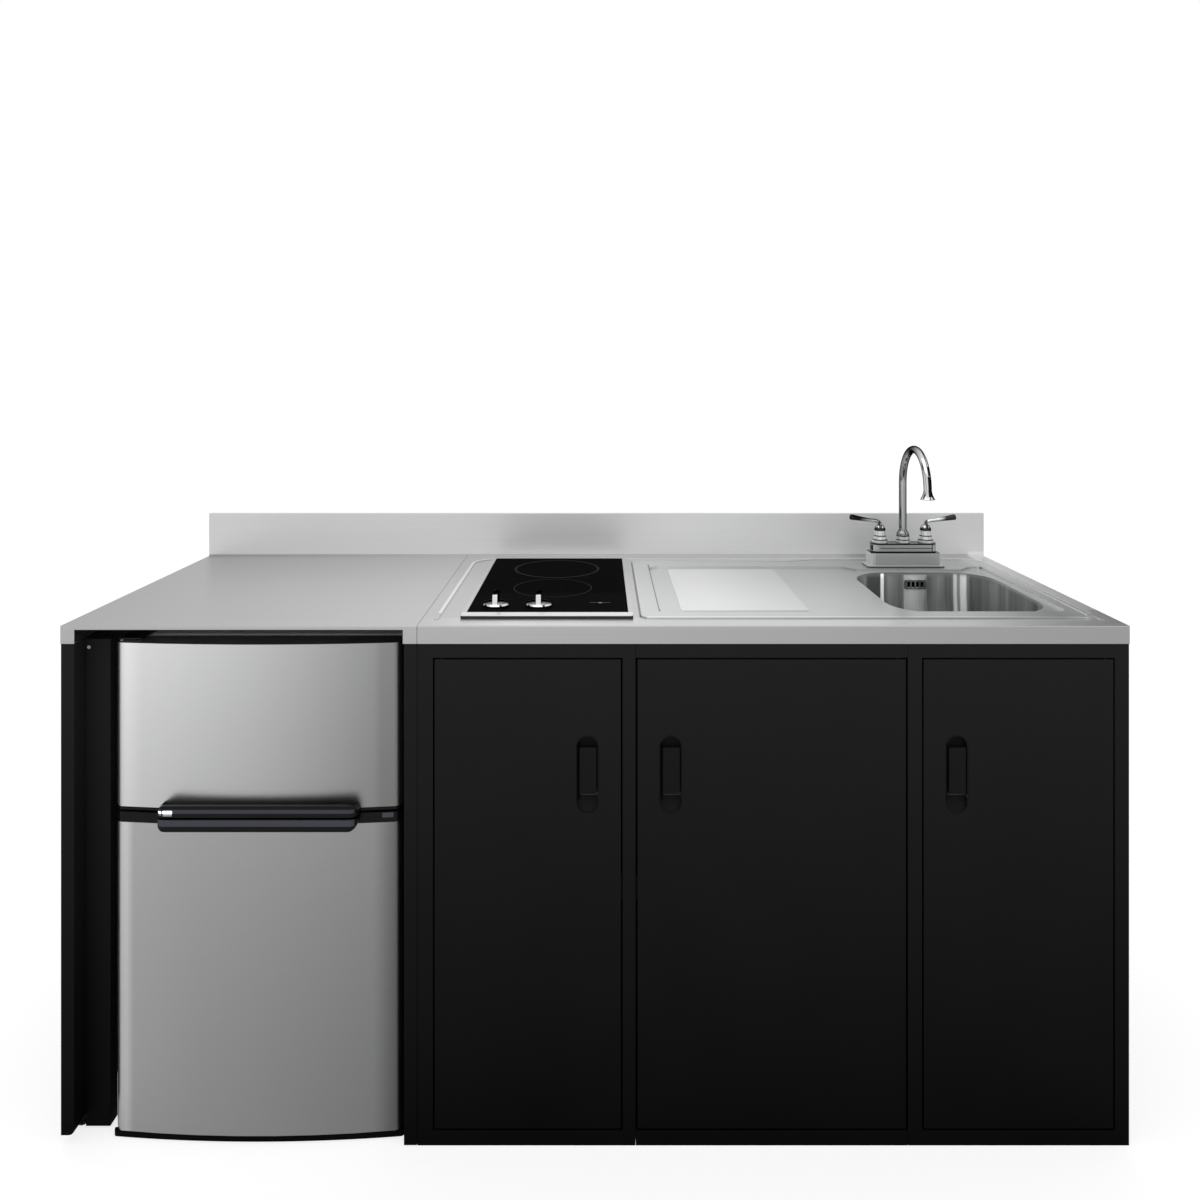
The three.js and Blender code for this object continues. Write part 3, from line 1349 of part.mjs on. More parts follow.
// A door's plan about its pivot: flat at the back, rounded at its front corners and bowed outwards.
function doorPlan(grow) {
  const [x0, x1] = [-FRIDGE_PIVOT_X - grow, FRIDGE_W - FRIDGE_PIVOT_X + grow];
  const rear = FRIDGE_PIVOT_Y + grow;
  const edge = FRIDGE_PIVOT_Y - FRIDGE_DOOR_T - grow;
  const r = FRIDGE_DOOR_R;
  const outline = new THREE.Shape();
  outline.moveTo(x1, rear);
  outline.lineTo(x0, rear);
  outline.absarc(x0 + r, edge + r, r, Math.PI, 1.5 * Math.PI);
  outline.quadraticCurveTo((x0 + x1) / 2, edge - 2 * FRIDGE_DOOR_BULGE, x1 - r, edge);
  outline.absarc(x1 - r, edge + r, r, -Math.PI / 2, 0);
  return outline;
}

// A foamed door: the bowed front with round corners, and the moulded rim that stands into the room.
function fridgeDoor({ z, room }) {
  const width = [-FRIDGE_PIVOT_X, FRIDGE_W - FRIDGE_PIVOT_X];
  const front = push(roundedRect(width, z, 9), "y", [-FRIDGE_DOOR_T * 2, FRIDGE_PIVOT_Y], 4);
  const leaf = push(doorPlan(0), "z", z, 7).intersect(front);
  const dyke = {
    x: grown(ROOM_X.map((x) => x - FRIDGE_PIVOT_X), -DYKE_GAP),
    z: grown(room, -DYKE_GAP),
  };
  const reach = [FRIDGE_PIVOT_Y - 1, FRIDGE_PIVOT_Y + DYKE_DEPTH];
  const ring = push(roundedRect(dyke.x, dyke.z, 8), "y", reach, 3).subtract(
    push(
      roundedRect(grown(dyke.x, -DYKE_WALL), grown(dyke.z, -DYKE_WALL), 5),
      "y",
      grown(reach, CUT),
      3,
    ),
  );
  return leaf.add(ring);
}

// One half of the black grip between the doors: an end cap as deep as the door,
// and a bar in front of it with a channel for the fingers. up is 1 for the upper half.
function gripHalf(cap, up) {
  const middle = FRIDGE_W / 2 + GRIP_SHIFT - FRIDGE_PIVOT_X;
  const doorFront = FRIDGE_PIVOT_Y - FRIDGE_DOOR_T - FRIDGE_DOOR_BULGE;
  const front = doorFront - FRIDGE_DOOR_SETBACK - GRIP_PROUD;
  const seam = up > 0 ? cap[0] : cap[1];
  const span = (from, to) => [seam + up * from, seam + up * to].sort((a, b) => a - b);
  const reach = [
    DOOR_SEAM_Z - DOOR_SEAM_GAP / 2 - GRIP_RISE,
    DOOR_SEAM_Z + DOOR_SEAM_GAP / 2 + GRIP_RISE,
  ];
  const ends = push(roundedRect(about(middle, GRIP_W), reach, GRIP_END_R), "y", [front - CUT, CUT], 6);
  const plan = roundedRect(about(middle, GRIP_W), [front, 0], GRIP_R);
  const bar = push(plan, "z", span(SEAT, GRIP_RISE)).intersect(ends);
  const channel = push(
    roundedRect(about(middle, GRIP_W - 2 * GRIP_WALL), [front + GRIP_WALL, 0], GRIP_R - GRIP_WALL),
    "z",
    span(GRIP_WALL, GRIP_RISE + CUT),
  );
  const overCap = span(cap[1] - cap[0] - SEAT, GRIP_RISE + CUT);
  const body = cut(bar, channel, push(doorPlan(SEAT), "z", overCap, 7));
  return cut(joined(body, push(doorPlan(0), "z", cap, 7)), rod(PIN_HOLE_R, grown(cap, CUT)));
}

function gasketRing({ z, room }) {
  const outer = { x: [GASKET_INSET, FRIDGE_W - GASKET_INSET], z: grown(room, GASKET_W + 5) };
  const [low, high] = [Math.max(outer.z[0], z[0] + 1), Math.min(outer.z[1], z[1] - 1)];
  const across = outer.x.map((x) => x - FRIDGE_PIVOT_X);
  const through = [FRIDGE_PIVOT_Y + SEAT, FRIDGE_PIVOT_Y + SEAT + GASKET_T];
  return push(roundedRect(across, [low, high], 6), "y", through, 3).subtract(
    push(
      roundedRect(grown(across, -GASKET_W), grown([low, high], -GASKET_W), 3),
      "y",
      grown(through, CUT),
      3,
    ),
  );
}

// A hinge plate with its pins, about the pivot. It is screwed to the cabinet by its tail or an upstand.
function hingePlate(z, { pinsUp = false, pinsDown = false, upstand = null, tail = 0 }) {
  const across = [-FRIDGE_PIVOT_X, HINGE_PLATE_W - FRIDGE_PIVOT_X];
  const wall = -FRIDGE_PIVOT.y - SEAT;
  const pieces = [box(across, [-PIN_R - 6, tail || wall - HINGE_PLATE_T / 2], [z, z + HINGE_PLATE_T])];
  if (pinsUp) pieces.push(rod(PIN_R, [z + 1, z + HINGE_PLATE_T + PIN_LENGTH]));
  if (pinsDown) pieces.push(rod(PIN_R, [z - PIN_LENGTH, z + 1.4]));
  if (upstand) pieces.push(box(grown(across, -1), [wall - HINGE_PLATE_T, wall], upstand));
  return joined(...pieces);
}

function openTray(across, depth, height, wall) {
  return cut(
    box(across, depth, height),
    box(grown(across, -wall), grown(depth, -wall), [height[0] + wall, height[1] + CUT]),
  );
}

function compressor() {
  const foot = FRIDGE_BODY_Z;
  const shell = turned([
    [0, foot + 8],
    [COMPRESSOR_R - 16, foot + 8],
    [COMPRESSOR_R - 2, foot + 22],
    [COMPRESSOR_R, foot + 60],
    [COMPRESSOR_R + 3, foot + 61],
    [COMPRESSOR_R + 3, foot + 65],
    [COMPRESSOR_R, foot + 66],
    [COMPRESSOR_R - 4, foot + COMPRESSOR_H - 24],
    [COMPRESSOR_R - 22, foot + COMPRESSOR_H - 4],
    [0, foot + COMPRESSOR_H],
  ], 20);
  return joined(
    shell,
    box(about(0, COMPRESSOR_R * 2 + 30), about(0, COMPRESSOR_R * 1.5), [foot, foot + 10]),
  );
}

// The coil on the back: one wire tube to and fro, carried on two straps.
function condenserCoil() {
  const [x0, x1] = [COIL.side, FRIDGE_W - COIL.side];
  const [z0, z1] = [COIL.bottom, FRIDGE_TOP_Z - COIL.top];
  const bend = (z1 - z0) / (COIL.passes - 1) / 2;
  const run = x1 - x0 - 2 * bend;
  const legs = [];
  for (let pass = 0; pass < COIL.passes; pass++) {
    legs.push({ run });
    if (pass + 1 < COIL.passes) legs.push({ turn: pass % 2 ? -Math.PI : Math.PI, radius: bend });
  }
  const strapFront = FRIDGE_BODY_D + SEAT;
  const y = strapFront + COIL.strapT + COIL.wire - 1;
  const route = new BentRoute(new THREE.Vector3(x0 + bend, y, z1), X, Z.clone().negate(), legs);
  const straps = [0.25, 0.75].map((part) =>
    box(
      about(x0 + part * (x1 - x0), COIL.strapW),
      [strapFront, strapFront + COIL.strapT],
      grown([z0, z1], 12),
    ),
  );
  return joined(tube(route, COIL.wire, { sides: 6, steps: 60 }), ...straps);
}

function thermostatDial() {
  const dial = turned([
    [0, 0],
    [DIAL_R, 0],
    [DIAL_R, 3],
    [DIAL_R - 2, 5],
    [0, 5],
  ]).add(box(about(0, 5), about(0, DIAL_R * 2 - 6), [4, DIAL_T - 3]));
  return dial.rotate([0, -90, 0]);
}

function addFridge() {
  const fridge = groupAt(FRIDGE_LEFT, FRIDGE_FRONT, 0);
  const pivot = groupAt(FRIDGE_PIVOT.x, FRIDGE_PIVOT.y, 0, fridge);
  addNode("fridge_cabinet", fridgeBody(), "whiteLiner", fridge);
  addNode("fridge_base", fridgeBase(), "blackPlastic", fridge);
  for (const [name, door] of Object.entries(DOORS)) {
    addNode(name + "_door", fridgeDoor(door).subtract(doorPinHole(name)), "fridgeSteel", pivot);
    addNode(name + "_door_gasket", gasketRing(door), "rubber", pivot);
  }
  addNode("freezer_door_grip", gripHalf(CAPS.upper, 1), "blackPlastic", pivot);
  addNode("fridge_door_grip", gripHalf(CAPS.lower, -1), "blackPlastic", pivot);

  const across = grown(ROOM_X, -DYKE_GAP - DYKE_WALL - SEAT).map((x) => x - FRIDGE_PIVOT_X);
  const rack = openTray(
    across,
    [FRIDGE_PIVOT_Y + SEAT, FRIDGE_PIVOT_Y + RACK.depth],
    [RACK.z, RACK.z + RACK.height],
    RACK.wall,
  );
  addNode("fridge_door_rack", rack, "clearPlastic", pivot);

  const middle = DOOR_SEAM_Z - HINGE_PLATE_T / 2;
  addNode(
    "fridge_top_hinge",
    hingePlate(FRIDGE_TOP_Z + SEAT, { pinsDown: true, tail: 70 }),
    "blackPlastic",
    pivot,
  );
  addNode(
    "fridge_middle_hinge",
    hingePlate(middle, { pinsUp: true, pinsDown: true, upstand: about(DOOR_SEAM_Z, 20) }),
    "zincSteel",
    pivot,
  );
  addNode(
    "fridge_bottom_hinge",
    hingePlate(FRIDGE_BODY_Z, { pinsUp: true, upstand: [FRIDGE_BODY_Z + 0.5, FRIDGE_BODY_Z + 18] }),
    "zincSteel",
    pivot,
  );

  const shelfX = grown(ROOM_X, -SEAT);
  for (const [name, z] of [["lower", LOWER_SHELF_Z], ["upper", UPPER_SHELF_Z]]) {
    const plate = box(shelfX, [INNER_CLEAR, ROOM_REAR - SEAT], [z, z + SHELF_T]);
    addNode("fridge_" + name + "_shelf", plate, "clearPlastic", fridge);
  }
  const floor = DOORS.fridge.room[0] + SEAT;
  const drawer = openTray(
    grown(ROOM_X, -DRAWER_SIDE),
    [INNER_CLEAR, STEP_Y - SEAT],
    [floor, floor + DRAWER_H],
    DRAWER_WALL,
  );
  addNode("fridge_drawer", drawer, "clearPlastic", fridge);
  addNode(
    "fridge_compressor",
    compressor(),
    "blackPaint",
    groupAt(FRIDGE_W / 3, STEP_Y + FRIDGE_BACK_WALL + 80, 0, fridge),
  );
  addNode("fridge_condenser", condenserCoil(), "blackPaint", fridge);
  const dialAt = groupAt(ROOM_X[1] - DIAL_T - 10 - SEAT, INNER_CLEAR + 40, DIAL_Z, fridge);
  addNode("fridge_thermostat_dial", thermostatDial(), "greyPlastic", dialAt);
}

function doorPinHole(name) {
  const { z } = DOORS[name];
  const deep = PIN_LENGTH + 2;
  if (name === "fridge") return rod(PIN_HOLE_R, [z[0] - CUT, z[0] + deep]);
  const top = rod(PIN_HOLE_R, [z[1] - deep, z[1] + CUT]);
  return top.add(rod(PIN_HOLE_R, [z[0] - CUT, DOOR_SEAM_Z + deep]));
}

// ---------- Assembly ----------
addNode("left_worktop", leftWorktop(), "brushedSteel");
addNode("right_worktop", rightWorktop(), "brushedSteel");
addCabinets();
addBay();
addHob();
addSink();
addTap();
addFridge();

export default unit;
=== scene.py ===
import json
import logging
import math
from dataclasses import dataclass
from enum import Enum
from functools import cache

import bmesh
import bpy
from mathutils import Matrix, Vector


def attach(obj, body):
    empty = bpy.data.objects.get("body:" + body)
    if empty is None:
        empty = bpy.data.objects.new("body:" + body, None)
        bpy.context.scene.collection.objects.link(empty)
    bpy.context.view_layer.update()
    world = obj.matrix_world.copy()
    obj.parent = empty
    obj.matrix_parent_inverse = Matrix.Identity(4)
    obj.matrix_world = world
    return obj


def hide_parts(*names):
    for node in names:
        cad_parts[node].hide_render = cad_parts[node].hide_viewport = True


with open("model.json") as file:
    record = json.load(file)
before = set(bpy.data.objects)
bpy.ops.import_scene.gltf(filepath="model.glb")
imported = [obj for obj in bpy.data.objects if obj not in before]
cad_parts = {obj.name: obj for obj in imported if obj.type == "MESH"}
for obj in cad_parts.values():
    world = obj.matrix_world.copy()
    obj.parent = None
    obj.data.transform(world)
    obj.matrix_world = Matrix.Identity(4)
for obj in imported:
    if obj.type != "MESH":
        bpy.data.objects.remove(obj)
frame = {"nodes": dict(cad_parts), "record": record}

log = logging.getLogger("kitchen_unit")
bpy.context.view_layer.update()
MM = 0.001

Tree = bpy.types.NodeTree
Node = bpy.types.Node
Socket = bpy.types.NodeSocket
Material = bpy.types.Material
Piece = bpy.types.Object
Shape = bmesh.types.BMesh
Pair = tuple[float, float]
Triple = tuple[float, float, float]

UP = (0.0, 0.0, 1.0)


# ---- Nodes
def feed(tree: Tree, slot: Socket, value: object) -> None:
    """Joins a socket to an input, or sets the input to a number, a vector or a colour.

    Args:
        tree: the tree that holds both.
        slot: the input.
        value: a socket, a constant, or None to leave the input as it is.
    """
    if isinstance(value, Socket):
        tree.links.new(value, slot)
    elif value is not None:
        slot.default_value = value


def new_group(name: str, numbers: tuple[str, ...]) -> tuple[Tree, object, object]:
    """Makes an empty shader node group, which gives a tone, a roughness and a height.

    Args:
        name: the group's name.
        numbers: the names of the numbers that it takes beside a tone.

    Returns:
        The new node tree, the sockets that it is given and those of its result.
    """
    tree = bpy.data.node_groups.new(name, "ShaderNodeTree")
    sockets = (
        ("INPUT", "NodeSocketColor", ("Tone",)),
        ("INPUT", "NodeSocketFloat", numbers),
        ("OUTPUT", "NodeSocketColor", ("Tone",)),
        ("OUTPUT", "NodeSocketFloat", ("Roughness", "Height")),
    )
    for way, kind, labels in sockets:
        for label in labels:
            tree.interface.new_socket(name=label, in_out=way, socket_type=kind)
    given, result = tree.nodes.new("NodeGroupInput"), tree.nodes.new("NodeGroupOutput")
    return tree, given.outputs, result.inputs


def math_node(tree: Tree, operation: str, *values: object) -> Socket:
    """Adds a Math node.

    Args:
        tree: the tree to add to.
        operation: the Math node's operation.
        values: a socket or a number for each input.

    Returns:
        The node's output socket.
    """
    node = tree.nodes.new("ShaderNodeMath")
    node.operation = operation
    for slot, value in zip(node.inputs, values):
        feed(tree, slot, value)
    return node.outputs[0]


def vector_node(tree: Tree, operation: str, *values: object) -> Node:
    """Adds a Vector Math node.

    Args:
        tree: the tree to add to.
        operation: the Vector Math node's operation.
        values: a socket, a vector or nothing for each input.

    Returns:
        The node.
    """
    node = tree.nodes.new("ShaderNodeVectorMath")
    node.operation = operation
    for slot, value in zip(node.inputs, values):
        feed(tree, slot, value)
    return node


def scaled(tree: Tree, colour: object, factor: Socket) -> Socket:
    """Adds a colour times a factor.

    Args:
        tree: the tree to add to.
        colour: a socket or a constant colour.
        factor: the factor's socket.

    Returns:
        The product's socket.
    """
    node = vector_node(tree, "SCALE", colour)
    tree.links.new(factor, node.inputs["Scale"])
    return node.outputs[0]


def off_circle(tree: Tree, place: Socket, radius: float) -> Socket:
    """Adds how far a place lies from a circle round the origin.

    Args:
        tree: the tree to add to.
        place: the place's socket.
        radius: the circle's radius.

    Returns:
        The distance's socket.
    """
    reach = vector_node(tree, "LENGTH", place).outputs["Value"]
    return math_node(tree, "ABSOLUTE", math_node(tree, "SUBTRACT", reach, radius))


def map_range(
    tree: Tree, value: Socket, span: Pair, target: tuple[object, object] = (0.0, 1.0), smooth: bool = False
) -> Socket:
    """Adds a Map Range node.

    Args:
        tree: the tree to add to.
        value: the socket to map.
        span: the value at the start and at the end.
        target: what the start and the end turn into, as numbers or sockets.
        smooth: eases the change at both ends.

    Returns:
        The mapped value's socket.
    """
    node = tree.nodes.new("ShaderNodeMapRange")
    if smooth:
        node.interpolation_type = "SMOOTHSTEP"
    tree.links.new(value, node.inputs["Value"])
    for label, end in zip(("From Min", "From Max", "To Min", "To Max"), (*span, *target)):
        feed(tree, node.inputs[label], end)
    return node.outputs["Result"]


def noise_node(tree: Tree, vector: Socket, scale: object, detail: float) -> Socket:
    """Adds a Noise Texture.

    Args:
        tree: the tree to add to.
        vector: the socket that holds the place.
        scale: the noise's scale, as a number or a socket.
        detail: how many finer layers it has.

    Returns:
        The noise's value socket.
    """
    node = tree.nodes.new("ShaderNodeTexNoise")
    node.inputs["Detail"].default_value = detail
    feed(tree, node.inputs["Scale"], scale)
    tree.links.new(vector, node.inputs["Vector"])
    return node.outputs[0]


def object_place(tree: Tree) -> Socket:
    """Adds the Object coordinates."""
    return tree.nodes.new("ShaderNodeTexCoord").outputs["Object"]


def split(tree: Tree, place: Socket) -> Node:
    """Adds the node that splits a place into X, Y and Z."""
    parts = tree.nodes.new("ShaderNodeSeparateXYZ")
    tree.links.new(place, parts.inputs[0])
    return parts


def mapped_place(tree: Tree, stretch: Triple) -> Socket:
    """Adds the Object coordinates, stretched on each axis.

    Args:
        tree: the tree to add to.
        stretch: the factor on each axis.

    Returns:
        The stretched place's socket.
    """
    node = tree.nodes.new("ShaderNodeMapping")
    node.inputs["Scale"].default_value = stretch
    tree.links.new(object_place(tree), node.inputs["Vector"])
    return node.outputs[0]


def swing_about(tree: Tree, noise: Socket, strength: Socket) -> Socket:
    """Adds a noise as a swing to both sides of nothing."""
    return math_node(tree, "MULTIPLY", math_node(tree, "SUBTRACT", noise, 0.5), strength)


# ---- Finishes
class Axis(Enum):
    """The unit's own ways, with the letter that nodes give them."""

    ACROSS = "X"
    DEEP = "Y"
    UPRIGHT = "Z"


ALONG_LINES = 4.0
OVER_LINES = 900.0
CLOUD_SCALE = 3.5
DUST_SCALE = 6.0
SHADE_TOP = 0.86
FAR = 10.0


@cache
def brushed_group(grain: Axis) -> Tree:
    """The lines that a brush leaves on steel, with faint clouds of handling over them.

    Args:
        grain: the way the lines run.

    Returns:
        A group that turns a colour and a roughness into ones that vary over the sheet.
    """
    name = f"brushed_{grain.name.lower()}"
    tree, given, result = new_group(name, ("Line Strength", "Roughness", "Cloud"))
    stretch = tuple(ALONG_LINES if axis is grain else OVER_LINES for axis in Axis)
    lines = noise_node(tree, mapped_place(tree, stretch), 1.0, 3.0)
    clouds = noise_node(tree, object_place(tree), CLOUD_SCALE, 2.0)
    swing = swing_about(tree, lines, given["Line Strength"])
    gain = math_node(tree, "MULTIPLY_ADD", swing, 2.0, 1.0)
    drift = swing_about(tree, clouds, given["Cloud"])
    rough = math_node(tree, "ADD", math_node(tree, "ADD", given["Roughness"], drift), swing)
    tree.links.new(scaled(tree, given["Tone"], gain), result["Tone"])
    tree.links.new(rough, result["Roughness"])
    tree.links.new(lines, result["Height"])
    return tree


@cache
def speckle_group() -> Tree:
    """The fine orange peel of a powder coat or a moulded plastic, and a painted shade that darkens it
    towards the bottom.

    Returns:
        A group that gives a varied colour, roughness and height.
    """
    tree, given, result = new_group("speckle", ("Scale", "Variation", "Roughness", "Low Tone"))
    place = object_place(tree)
    peel = noise_node(tree, place, given["Scale"], 2.0)
    dust = noise_node(tree, place, DUST_SCALE, 4.0)
    swing = swing_about(tree, dust, given["Variation"])
    # painted shade: the tone falls to the Low Tone share at the bottom and rises to full at SHADE_TOP, as
    # if lit from above
    painted_shade = map_range(tree, split(tree, place).outputs["Z"], (0.0, SHADE_TOP), (given["Low Tone"], 1.0))
    gain = math_node(tree, "MULTIPLY_ADD", swing, 2.0, painted_shade)
    tree.links.new(scaled(tree, given["Tone"], gain), result["Tone"])
    tree.links.new(math_node(tree, "ADD", given["Roughness"], swing), result["Roughness"])
    tree.links.new(peel, result["Height"])
    return tree


@dataclass(frozen=True)
class Region:
    """A soft-edged box in the part's frame, open along each axis that has no span.

    What it changes is a finish's tone and, where `metal` is set, its metallic value.
    """

    x: Pair | None = None
    y: Pair | None = None
    z: Pair | None = None
    soft: float = 0.001
    metal: float | None = None

    def mask(self, tree: Tree, parts: Node) -> Socket:
        """Adds the nodes of the region's mask.

        Args:
            tree: the material's tree.
            parts: the node that gives X, Y and Z.

        Returns:
            The mask, 1 inside and 0 outside.
        """
        mask: object = 1.0
        for axis, span in zip(Axis, (self.x, self.y, self.z)):
            if span is None:
                continue
            half = (span[1] - span[0]) / 2
            off = math_node(tree, "SUBTRACT", parts.outputs[axis.value], span[0] + half)
            edge = map_range(tree, math_node(tree, "ABSOLUTE", off), (half, half - self.soft))
            mask = math_node(tree, "MULTIPLY", edge, mask)
        return mask


@dataclass(frozen=True)
class Patch(Region):
    """A region where a finish is lighter or darker."""

    tone: float = 1.0

    def gain(self, tree: Tree, parts: Node, mask: Socket) -> Socket:
        """Adds the factor on the colour, which is 1 outside the region."""
        return math_node(tree, "MULTIPLY_ADD", mask, self.tone - 1.0, 1.0)


@dataclass(frozen=True)
class Fall(Region):
    """A region whose tone changes along one axis, through a few stops."""

    axis: Axis = Axis.ACROSS
    span: Pair = (0.0, 1.0)
    stops: tuple[Pair, ...] = ((0.0, 1.0), (1.0, 1.0))

    def gain(self, tree: Tree, parts: Node, mask: Socket) -> Socket:
        """Adds the factor on the colour, which is 1 outside the region.

        Args:
            tree: the material's tree.
            parts: the node that gives X, Y and Z.
            mask: the region's mask.

        Returns:
            The factor's socket.
        """
        ramp = tree.nodes.new("ShaderNodeValToRGB")
        tree.links.new(map_range(tree, parts.outputs[self.axis.value], self.span), ramp.inputs["Fac"])
        stops = ramp.color_ramp.elements
        while len(stops) < len(self.stops):
            stops.new(0.5)
        for stop, (place, _) in zip(stops, self.stops):
            stop.position = place
        for stop, (_, tone) in zip(stops, self.stops):
            stop.color = (tone / 2, tone / 2, tone / 2, 1.0)
        change = math_node(tree, "MULTIPLY_ADD", ramp.outputs["Color"], 2.0, -1.0)
        return math_node(tree, "MULTIPLY_ADD", change, mask, 1.0)


@dataclass(frozen=True)
class Finish:
    """What every finish shares: a name, a colour and the Principled shader's plain settings."""

    name: str
    tone: Triple
    roughness: float
    metallic: float = 0.0
    specular: float = 0.5
    alpha: float = 1.0
    bump: float = 0.0
    bump_depth: float = 0.0001
    regions: tuple[Patch | Fall, ...] = ()

    def shader(self) -> tuple[Material, Node]:
        """Starts the material.

        Returns:
            The material and its Principled shader.
        """
        material = bpy.data.materials.new(self.name)
        material.use_nodes = True
        body = material.node_tree.nodes["Principled BSDF"]
        settings = {
            "Base Color": (*self.tone, 1.0),
            "Roughness": self.roughness,
            "Metallic": self.metallic,
            "Specular IOR Level": self.specular,
            "Alpha": self.alpha,
        }
        for label, value in settings.items():
            body.inputs[label].default_value = value
        material.diffuse_color = (*self.tone, 1.0)
        return material, body

    def textured(self, group: Tree, values: dict[str, float]) -> Material:
        """Starts the material, and joins a group's outputs to its shader.

        Args:
            group: the node group.
            values: the group's own numbers, by its inputs' names.

        Returns:
            The material.
        """
        material, body = self.shader()
        tree = material.node_tree
        node = tree.nodes.new("ShaderNodeGroup")
        node.node_tree = group
        node.inputs["Tone"].default_value = (*self.tone, 1.0)
        node.inputs["Roughness"].default_value = self.roughness
        for label, value in values.items():
            node.inputs[label].default_value = value
        tree.links.new(node.outputs["Tone"], body.inputs["Base Color"])
        tree.links.new(node.outputs["Roughness"], body.inputs["Roughness"])
        if self.bump:
            bump = tree.nodes.new("ShaderNodeBump")
            bump.inputs["Strength"].default_value = self.bump
            bump.inputs["Distance"].default_value = self.bump_depth
            tree.links.new(node.outputs["Height"], bump.inputs["Height"])
            tree.links.new(bump.outputs[0], body.inputs["Normal"])
        return material

    def build(self) -> Material:
        """Builds the plain finish."""
        return self.shader()[0]

    def scale_tone(self, material: Material, gain: Socket) -> None:
        """Multiplies what feeds the base colour by a factor that changes over the surface.

        Args:
            material: the material to work in.
            gain: the factor's socket.
        """
        tree = material.node_tree
        colour = tree.nodes["Principled BSDF"].inputs["Base Color"]
        tree.links.new(scaled(tree, colour.links[0].from_socket, gain), colour)

    def finished(self) -> Material:
        """Builds the finish and lays its regions over it.

        Returns:
            The material.
        """
        material = self.build()
        if not self.regions:
            return material
        tree = material.node_tree
        parts = split(tree, object_place(tree))
        total: object = 1.0
        metal: object = self.metallic
        for region in self.regions:
            mask = region.mask(tree, parts)
            total = math_node(tree, "MULTIPLY", region.gain(tree, parts, mask), total)
            if region.metal is not None:
                metal = math_node(tree, "MULTIPLY_ADD", mask, region.metal - self.metallic, metal)
        self.scale_tone(material, total)
        feed(tree, tree.nodes["Principled BSDF"].inputs["Metallic"], metal)
        return material


@dataclass(frozen=True)
class Brushed(Finish):
    """Brushed or satin sheet metal."""

    metallic: float = 1.0
    grain: Axis = Axis.ACROSS
    line_strength: float = 0.06
    cloud: float = 0.05

    def build(self) -> Material:
        """Builds the brushed finish."""
        return self.textured(
            brushed_group(self.grain), {"Line Strength": self.line_strength, "Cloud": self.cloud}
        )


@dataclass(frozen=True)
class BeadedSteel(Brushed):
    """Brushed sheet with a pressed bead round it, painted with a highlight on its crown and shade at its
    foot.
    """

    centre: Pair = (0.305, -0.0005)
    half: Pair = (0.584, 0.2635)
    radius: float = 0.05
    crown: tuple[Pair, float] = ((0.0026, 0.0042), 1.45)
    foot: tuple[Pair, float] = ((0.0035, 0.0065), 0.82)
    front_fade: Pair = (-0.245, -0.225)

    def build(self) -> Material:
        """Builds the painted highlight and shade of the bead, a rectangle with round corners, over the
        brushed finish.

        Returns:
            The material.
        """
        material = super().build()
        tree = material.node_tree
        start = object_place(tree)
        straight = (self.half[0] - self.radius, self.half[1] - self.radius, FAR)
        place = vector_node(tree, "SUBTRACT", start, (*self.centre, 0.0)).outputs[0]
        place = vector_node(tree, "ABSOLUTE", place).outputs[0]
        for operation, value in (("SUBTRACT", straight), ("MAXIMUM", (0.0, 0.0, 0.0))):
            place = vector_node(tree, operation, place, value).outputs[0]
        front = map_range(tree, split(tree, start).outputs["Y"], self.front_fade, (self.half[1], 0.0))
        off = math_node(tree, "ADD", off_circle(tree, place, self.radius), front)
        # painted shade at the bead's foot, then a painted highlight on its crown; neither at the front
        gain: object = 1.0
        for span, tone in (self.foot, self.crown):
            gain = map_range(tree, off, span, (tone, gain))
        self.scale_tone(material, gain)
        return material


@dataclass(frozen=True)
class SinkSteel(Brushed):
    """Satin sheet with painted upright streaks of reflection on the bowl's walls."""

    streak_stretch: Triple = (28.0, 28.0, 0.6)
    streak_noise: Pair = (0.38, 0.62)
    streak_tone: Pair = (0.5, 1.55)
    streak_top: Pair = (0.886, 0.876)
    streak_foot: Pair = (0.738, 0.756)

    def build(self) -> Material:
        """Builds the sink's finish: brushed, with painted streaks of reflection on the bowl's walls.

        Returns:
            The material.
        """
        material = super().build()
        tree = material.node_tree
        height = split(tree, object_place(tree)).outputs["Z"]
        noise = noise_node(tree, mapped_place(tree, self.streak_stretch), 1.0, 3.0)
        contrast = map_range(tree, noise, self.streak_noise, self.streak_tone)
        below, above = (map_range(tree, height, span) for span in (self.streak_top, self.streak_foot))
        walls = math_node(tree, "MULTIPLY", below, above)
        # drawn: the painted streaks of reflection, as a change on the tone that counts only on the walls
        drawn = math_node(tree, "SUBTRACT", contrast, 1.0)
        self.scale_tone(material, math_node(tree, "MULTIPLY_ADD", drawn, walls, 1.0))
        return material


@dataclass(frozen=True)
class Coated(Finish):
    """Powder coat, enamel, rubber or moulded plastic, clear or not."""

    scale: float = 900.0
    variation: float = 0.08
    # low: the tone's share at the bottom under the painted shade from above
    low: float = 1.0

    def build(self) -> Material:
        """Builds the coated finish."""
        values = {"Scale": self.scale, "Variation": self.variation, "Low Tone": self.low}
        return self.textured(speckle_group(), values)


